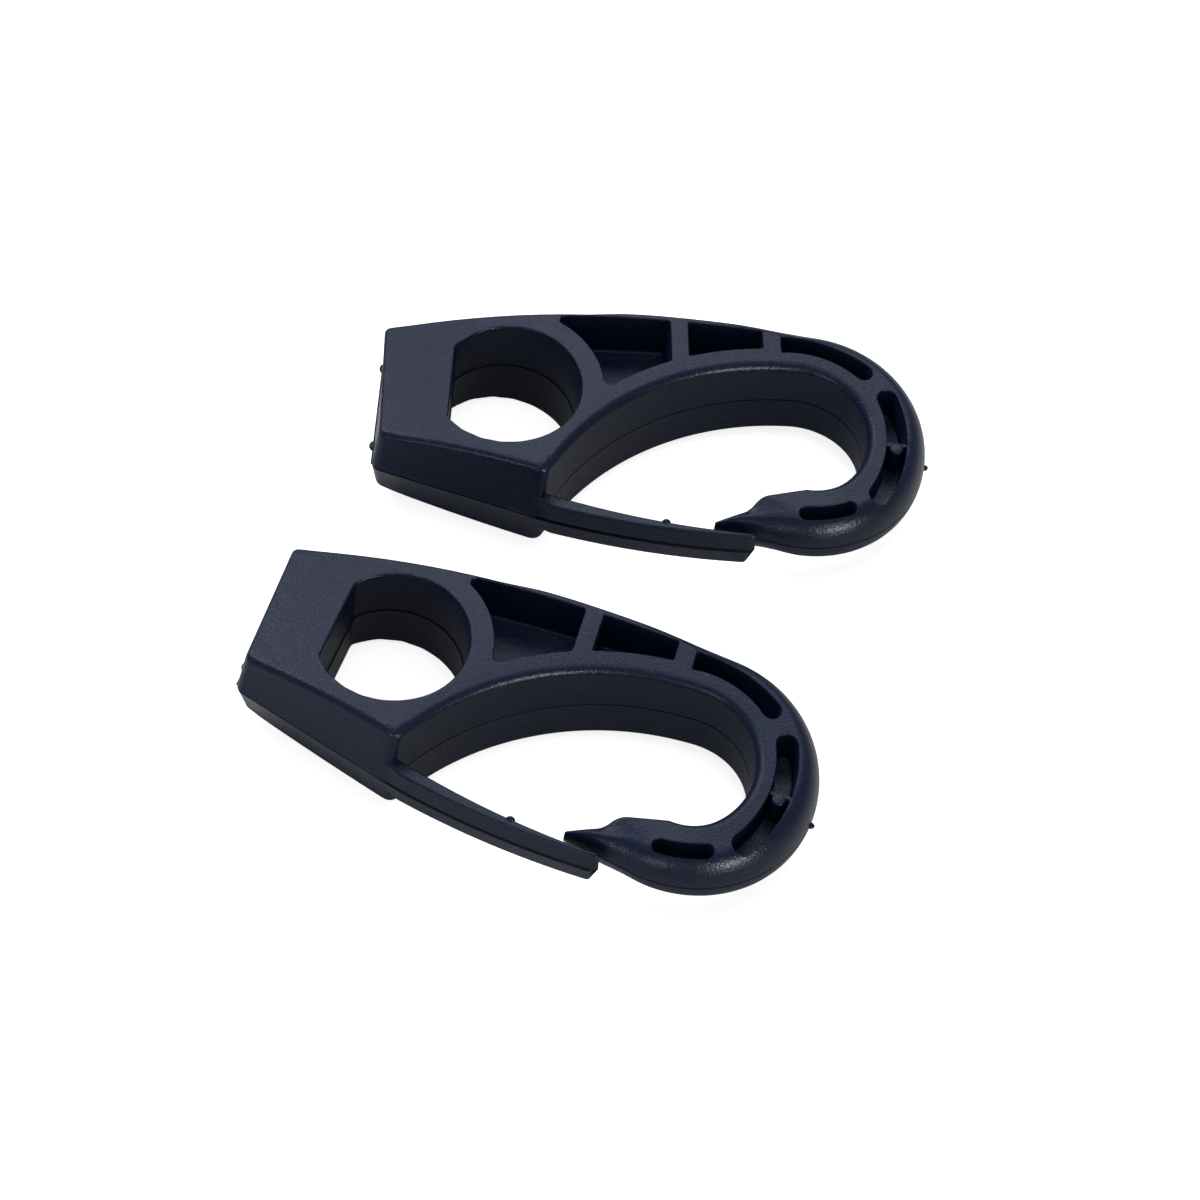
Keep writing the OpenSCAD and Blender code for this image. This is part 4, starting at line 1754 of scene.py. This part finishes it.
@dataclass
class Studio:
    """White table, soft lamps and the camera.

    Attributes:
        floor_z: height of the table in metres.
        floor_reach: how far the table reaches each way in metres.
        floor_white: how much light the table returns.
        floor_glow: how much it shines for the camera alone.
        focal: lens length in millimetres.
        sensor: width of the sensor in millimetres.
        azimuth: turn of the view in degrees.
        elevation: height of the view in degrees.
        roll: turn of the picture about the optical axis in degrees.
        target: point that the optical axis meets on the parting plane, in metres.
        distance: distance from target to camera in metres.
        lamp_distance: distance from target to each lamp in metres.
        surround: strength of the plain surround.
        lamps: the lamps.
    """

    floor_z: float = -0.0077
    floor_reach: float = 3.0
    floor_white: float = 0.78
    floor_glow: float = 0.82
    focal: float = 105.0
    sensor: float = 36.0
    azimuth: float = 8.755
    elevation: float = 54.836
    roll: float = 9.18
    target: tuple[float, float, float] = (0.011603, -0.027626, 0.0)
    distance: float = 0.43309
    lamp_distance: float = 0.8
    surround: float = 0.38
    lamps: tuple[Lamp, ...] = (
        Lamp("back_left", 315.0, 48.0, 0.3, 2.6),
        Lamp("back", 8.0, 50.0, 0.45, 2.6),
        Lamp("overhead", 0.0, 90.0, 0.3, 0.92),
        Lamp("front_gloss", 152.0, 11.0, 0.12, 6.5, gloss_only=True),
        Lamp("left_gloss", 207.0, 16.0, 0.12, 1.6, gloss_only=True),
    )

    def camera(self) -> None:
        """Camera at target minus distance times the view direction, rolled about it."""
        a, e, r = (math.radians(v) for v in (self.azimuth, self.elevation, self.roll))
        view = Vector((math.sin(a) * math.cos(e), math.cos(a) * math.cos(e), -math.sin(e)))
        level = Vector((math.cos(a), -math.sin(a), 0.0))
        above = level.cross(view)
        right = math.cos(r) * level + math.sin(r) * above
        top = math.cos(r) * above - math.sin(r) * level
        data = bpy.data.cameras.new("camera")
        data.sensor_width = self.sensor
        data.lens = self.focal
        data.clip_start = 0.01
        eye = bpy.data.objects.new("camera", data)
        bpy.context.scene.collection.objects.link(eye)
        turn = Matrix((right, top, -view)).transposed()
        stand = Vector(self.target) - view * self.distance
        eye.matrix_world = Matrix.LocRotScale(stand, turn, None)
        bpy.context.scene.camera = eye

    def floor(self) -> None:
        """Wide white table that keeps the hooks' soft shadow and shows white to the camera."""
        row = 3
        grid = np.linspace(-self.floor_reach, self.floor_reach, row)
        x, y = np.meshgrid(grid, grid, indexing="ij")
        points = np.stack([x, y, np.full_like(x, self.floor_z)], axis=-1).reshape(-1, 3)
        corners = [r * row + c for r in range(row - 1) for c in range(row - 1)]
        quads = [(k, k + row, k + row + 1, k + 1) for k in corners]
        mesh = bpy.data.meshes.new("table")
        mesh.from_pydata(points.tolist(), [], quads)
        table = bpy.data.objects.new("table", mesh)
        bpy.context.scene.collection.objects.link(table)
        paint = bpy.data.materials.new("white_table")
        paint.use_nodes = True
        nodes, link = paint.node_tree.nodes, paint.node_tree.links.new
        nodes.clear()
        out = nodes.new("ShaderNodeOutputMaterial")
        matt = nodes.new("ShaderNodeBsdfDiffuse")
        matt.inputs["Color"].default_value = (*(self.floor_white,) * 3, 1.0)
        glow = nodes.new("ShaderNodeEmission")
        glow.inputs["Strength"].default_value = self.floor_glow
        both = nodes.new("ShaderNodeAddShader")
        pick = nodes.new("ShaderNodeMixShader")
        ray = nodes.new("ShaderNodeLightPath")
        link(matt.outputs[0], both.inputs[0])
        link(glow.outputs[0], both.inputs[1])
        link(ray.outputs["Is Camera Ray"], pick.inputs["Fac"])
        link(matt.outputs[0], pick.inputs[1])
        link(both.outputs[0], pick.inputs[2])
        link(pick.outputs[0], out.inputs["Surface"])
        mesh.materials.append(paint)

    def light(self, lamp: Lamp) -> None:
        """Sets a lamp up, facing the middle of the pair from lamp_distance away.

        Args:
            lamp: the lamp.
        """
        a, e = math.radians(lamp.azimuth), math.radians(lamp.elevation)
        toward = Vector((math.sin(a) * math.cos(e), math.cos(a) * math.cos(e), math.sin(e)))
        data = bpy.data.lights.new(lamp.name, "AREA")
        data.shape = "SQUARE"
        data.size = lamp.size
        data.energy = lamp.power
        holder = bpy.data.objects.new(lamp.name, data)
        bpy.context.scene.collection.objects.link(holder)
        place = Vector(self.target) + toward * self.lamp_distance
        aim = (Vector(self.target) - place).to_track_quat("-Z", "Y")
        holder.matrix_world = Matrix.LocRotScale(place, aim, None)
        holder.visible_diffuse = not lamp.gloss_only

    def world(self) -> None:
        """Plain pale surround."""
        sky = bpy.data.worlds.new("surround")
        sky.use_nodes = True
        back = sky.node_tree.nodes["Background"]
        back.inputs["Color"].default_value = (1.0, 1.0, 1.0, 1.0)
        back.inputs["Strength"].default_value = self.surround
        bpy.context.scene.world = sky

    def build(self) -> None:
        """Camera, table, lamps and surround."""
        self.camera()
        self.floor()
        self.world()
        for lamp in self.lamps:
            self.light(lamp)
        bpy.context.scene.view_settings.view_transform = "Standard"


# The two hooks, and the half width of the painted shade along the parting line on their gates, in
# metres.
PLACES = (HookPlace("a"), HookPlace("b", x=-14.1, y=-39.1, turn=-16.4))
GATE_SEAM_PAINTED_SHADE = 0.0004


def main() -> None:
    """Builds the studio and both hooks."""
    logging.basicConfig(level=logging.INFO, format="%(name)s: %(message)s")
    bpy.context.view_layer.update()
    Studio().build()
    plan = HookPlan()
    finish = MouldedNylon("navy_nylon").material()
    # The gate's material has a wider band of painted shade along its parting line.
    gate_finish = MouldedNylon("navy_nylon_gate", seam=GATE_SEAM_PAINTED_SHADE).material()
    for place in PLACES:
        SnapHook(place, plan, finish, gate_finish).build()


if __name__ == "__main__":
    main()
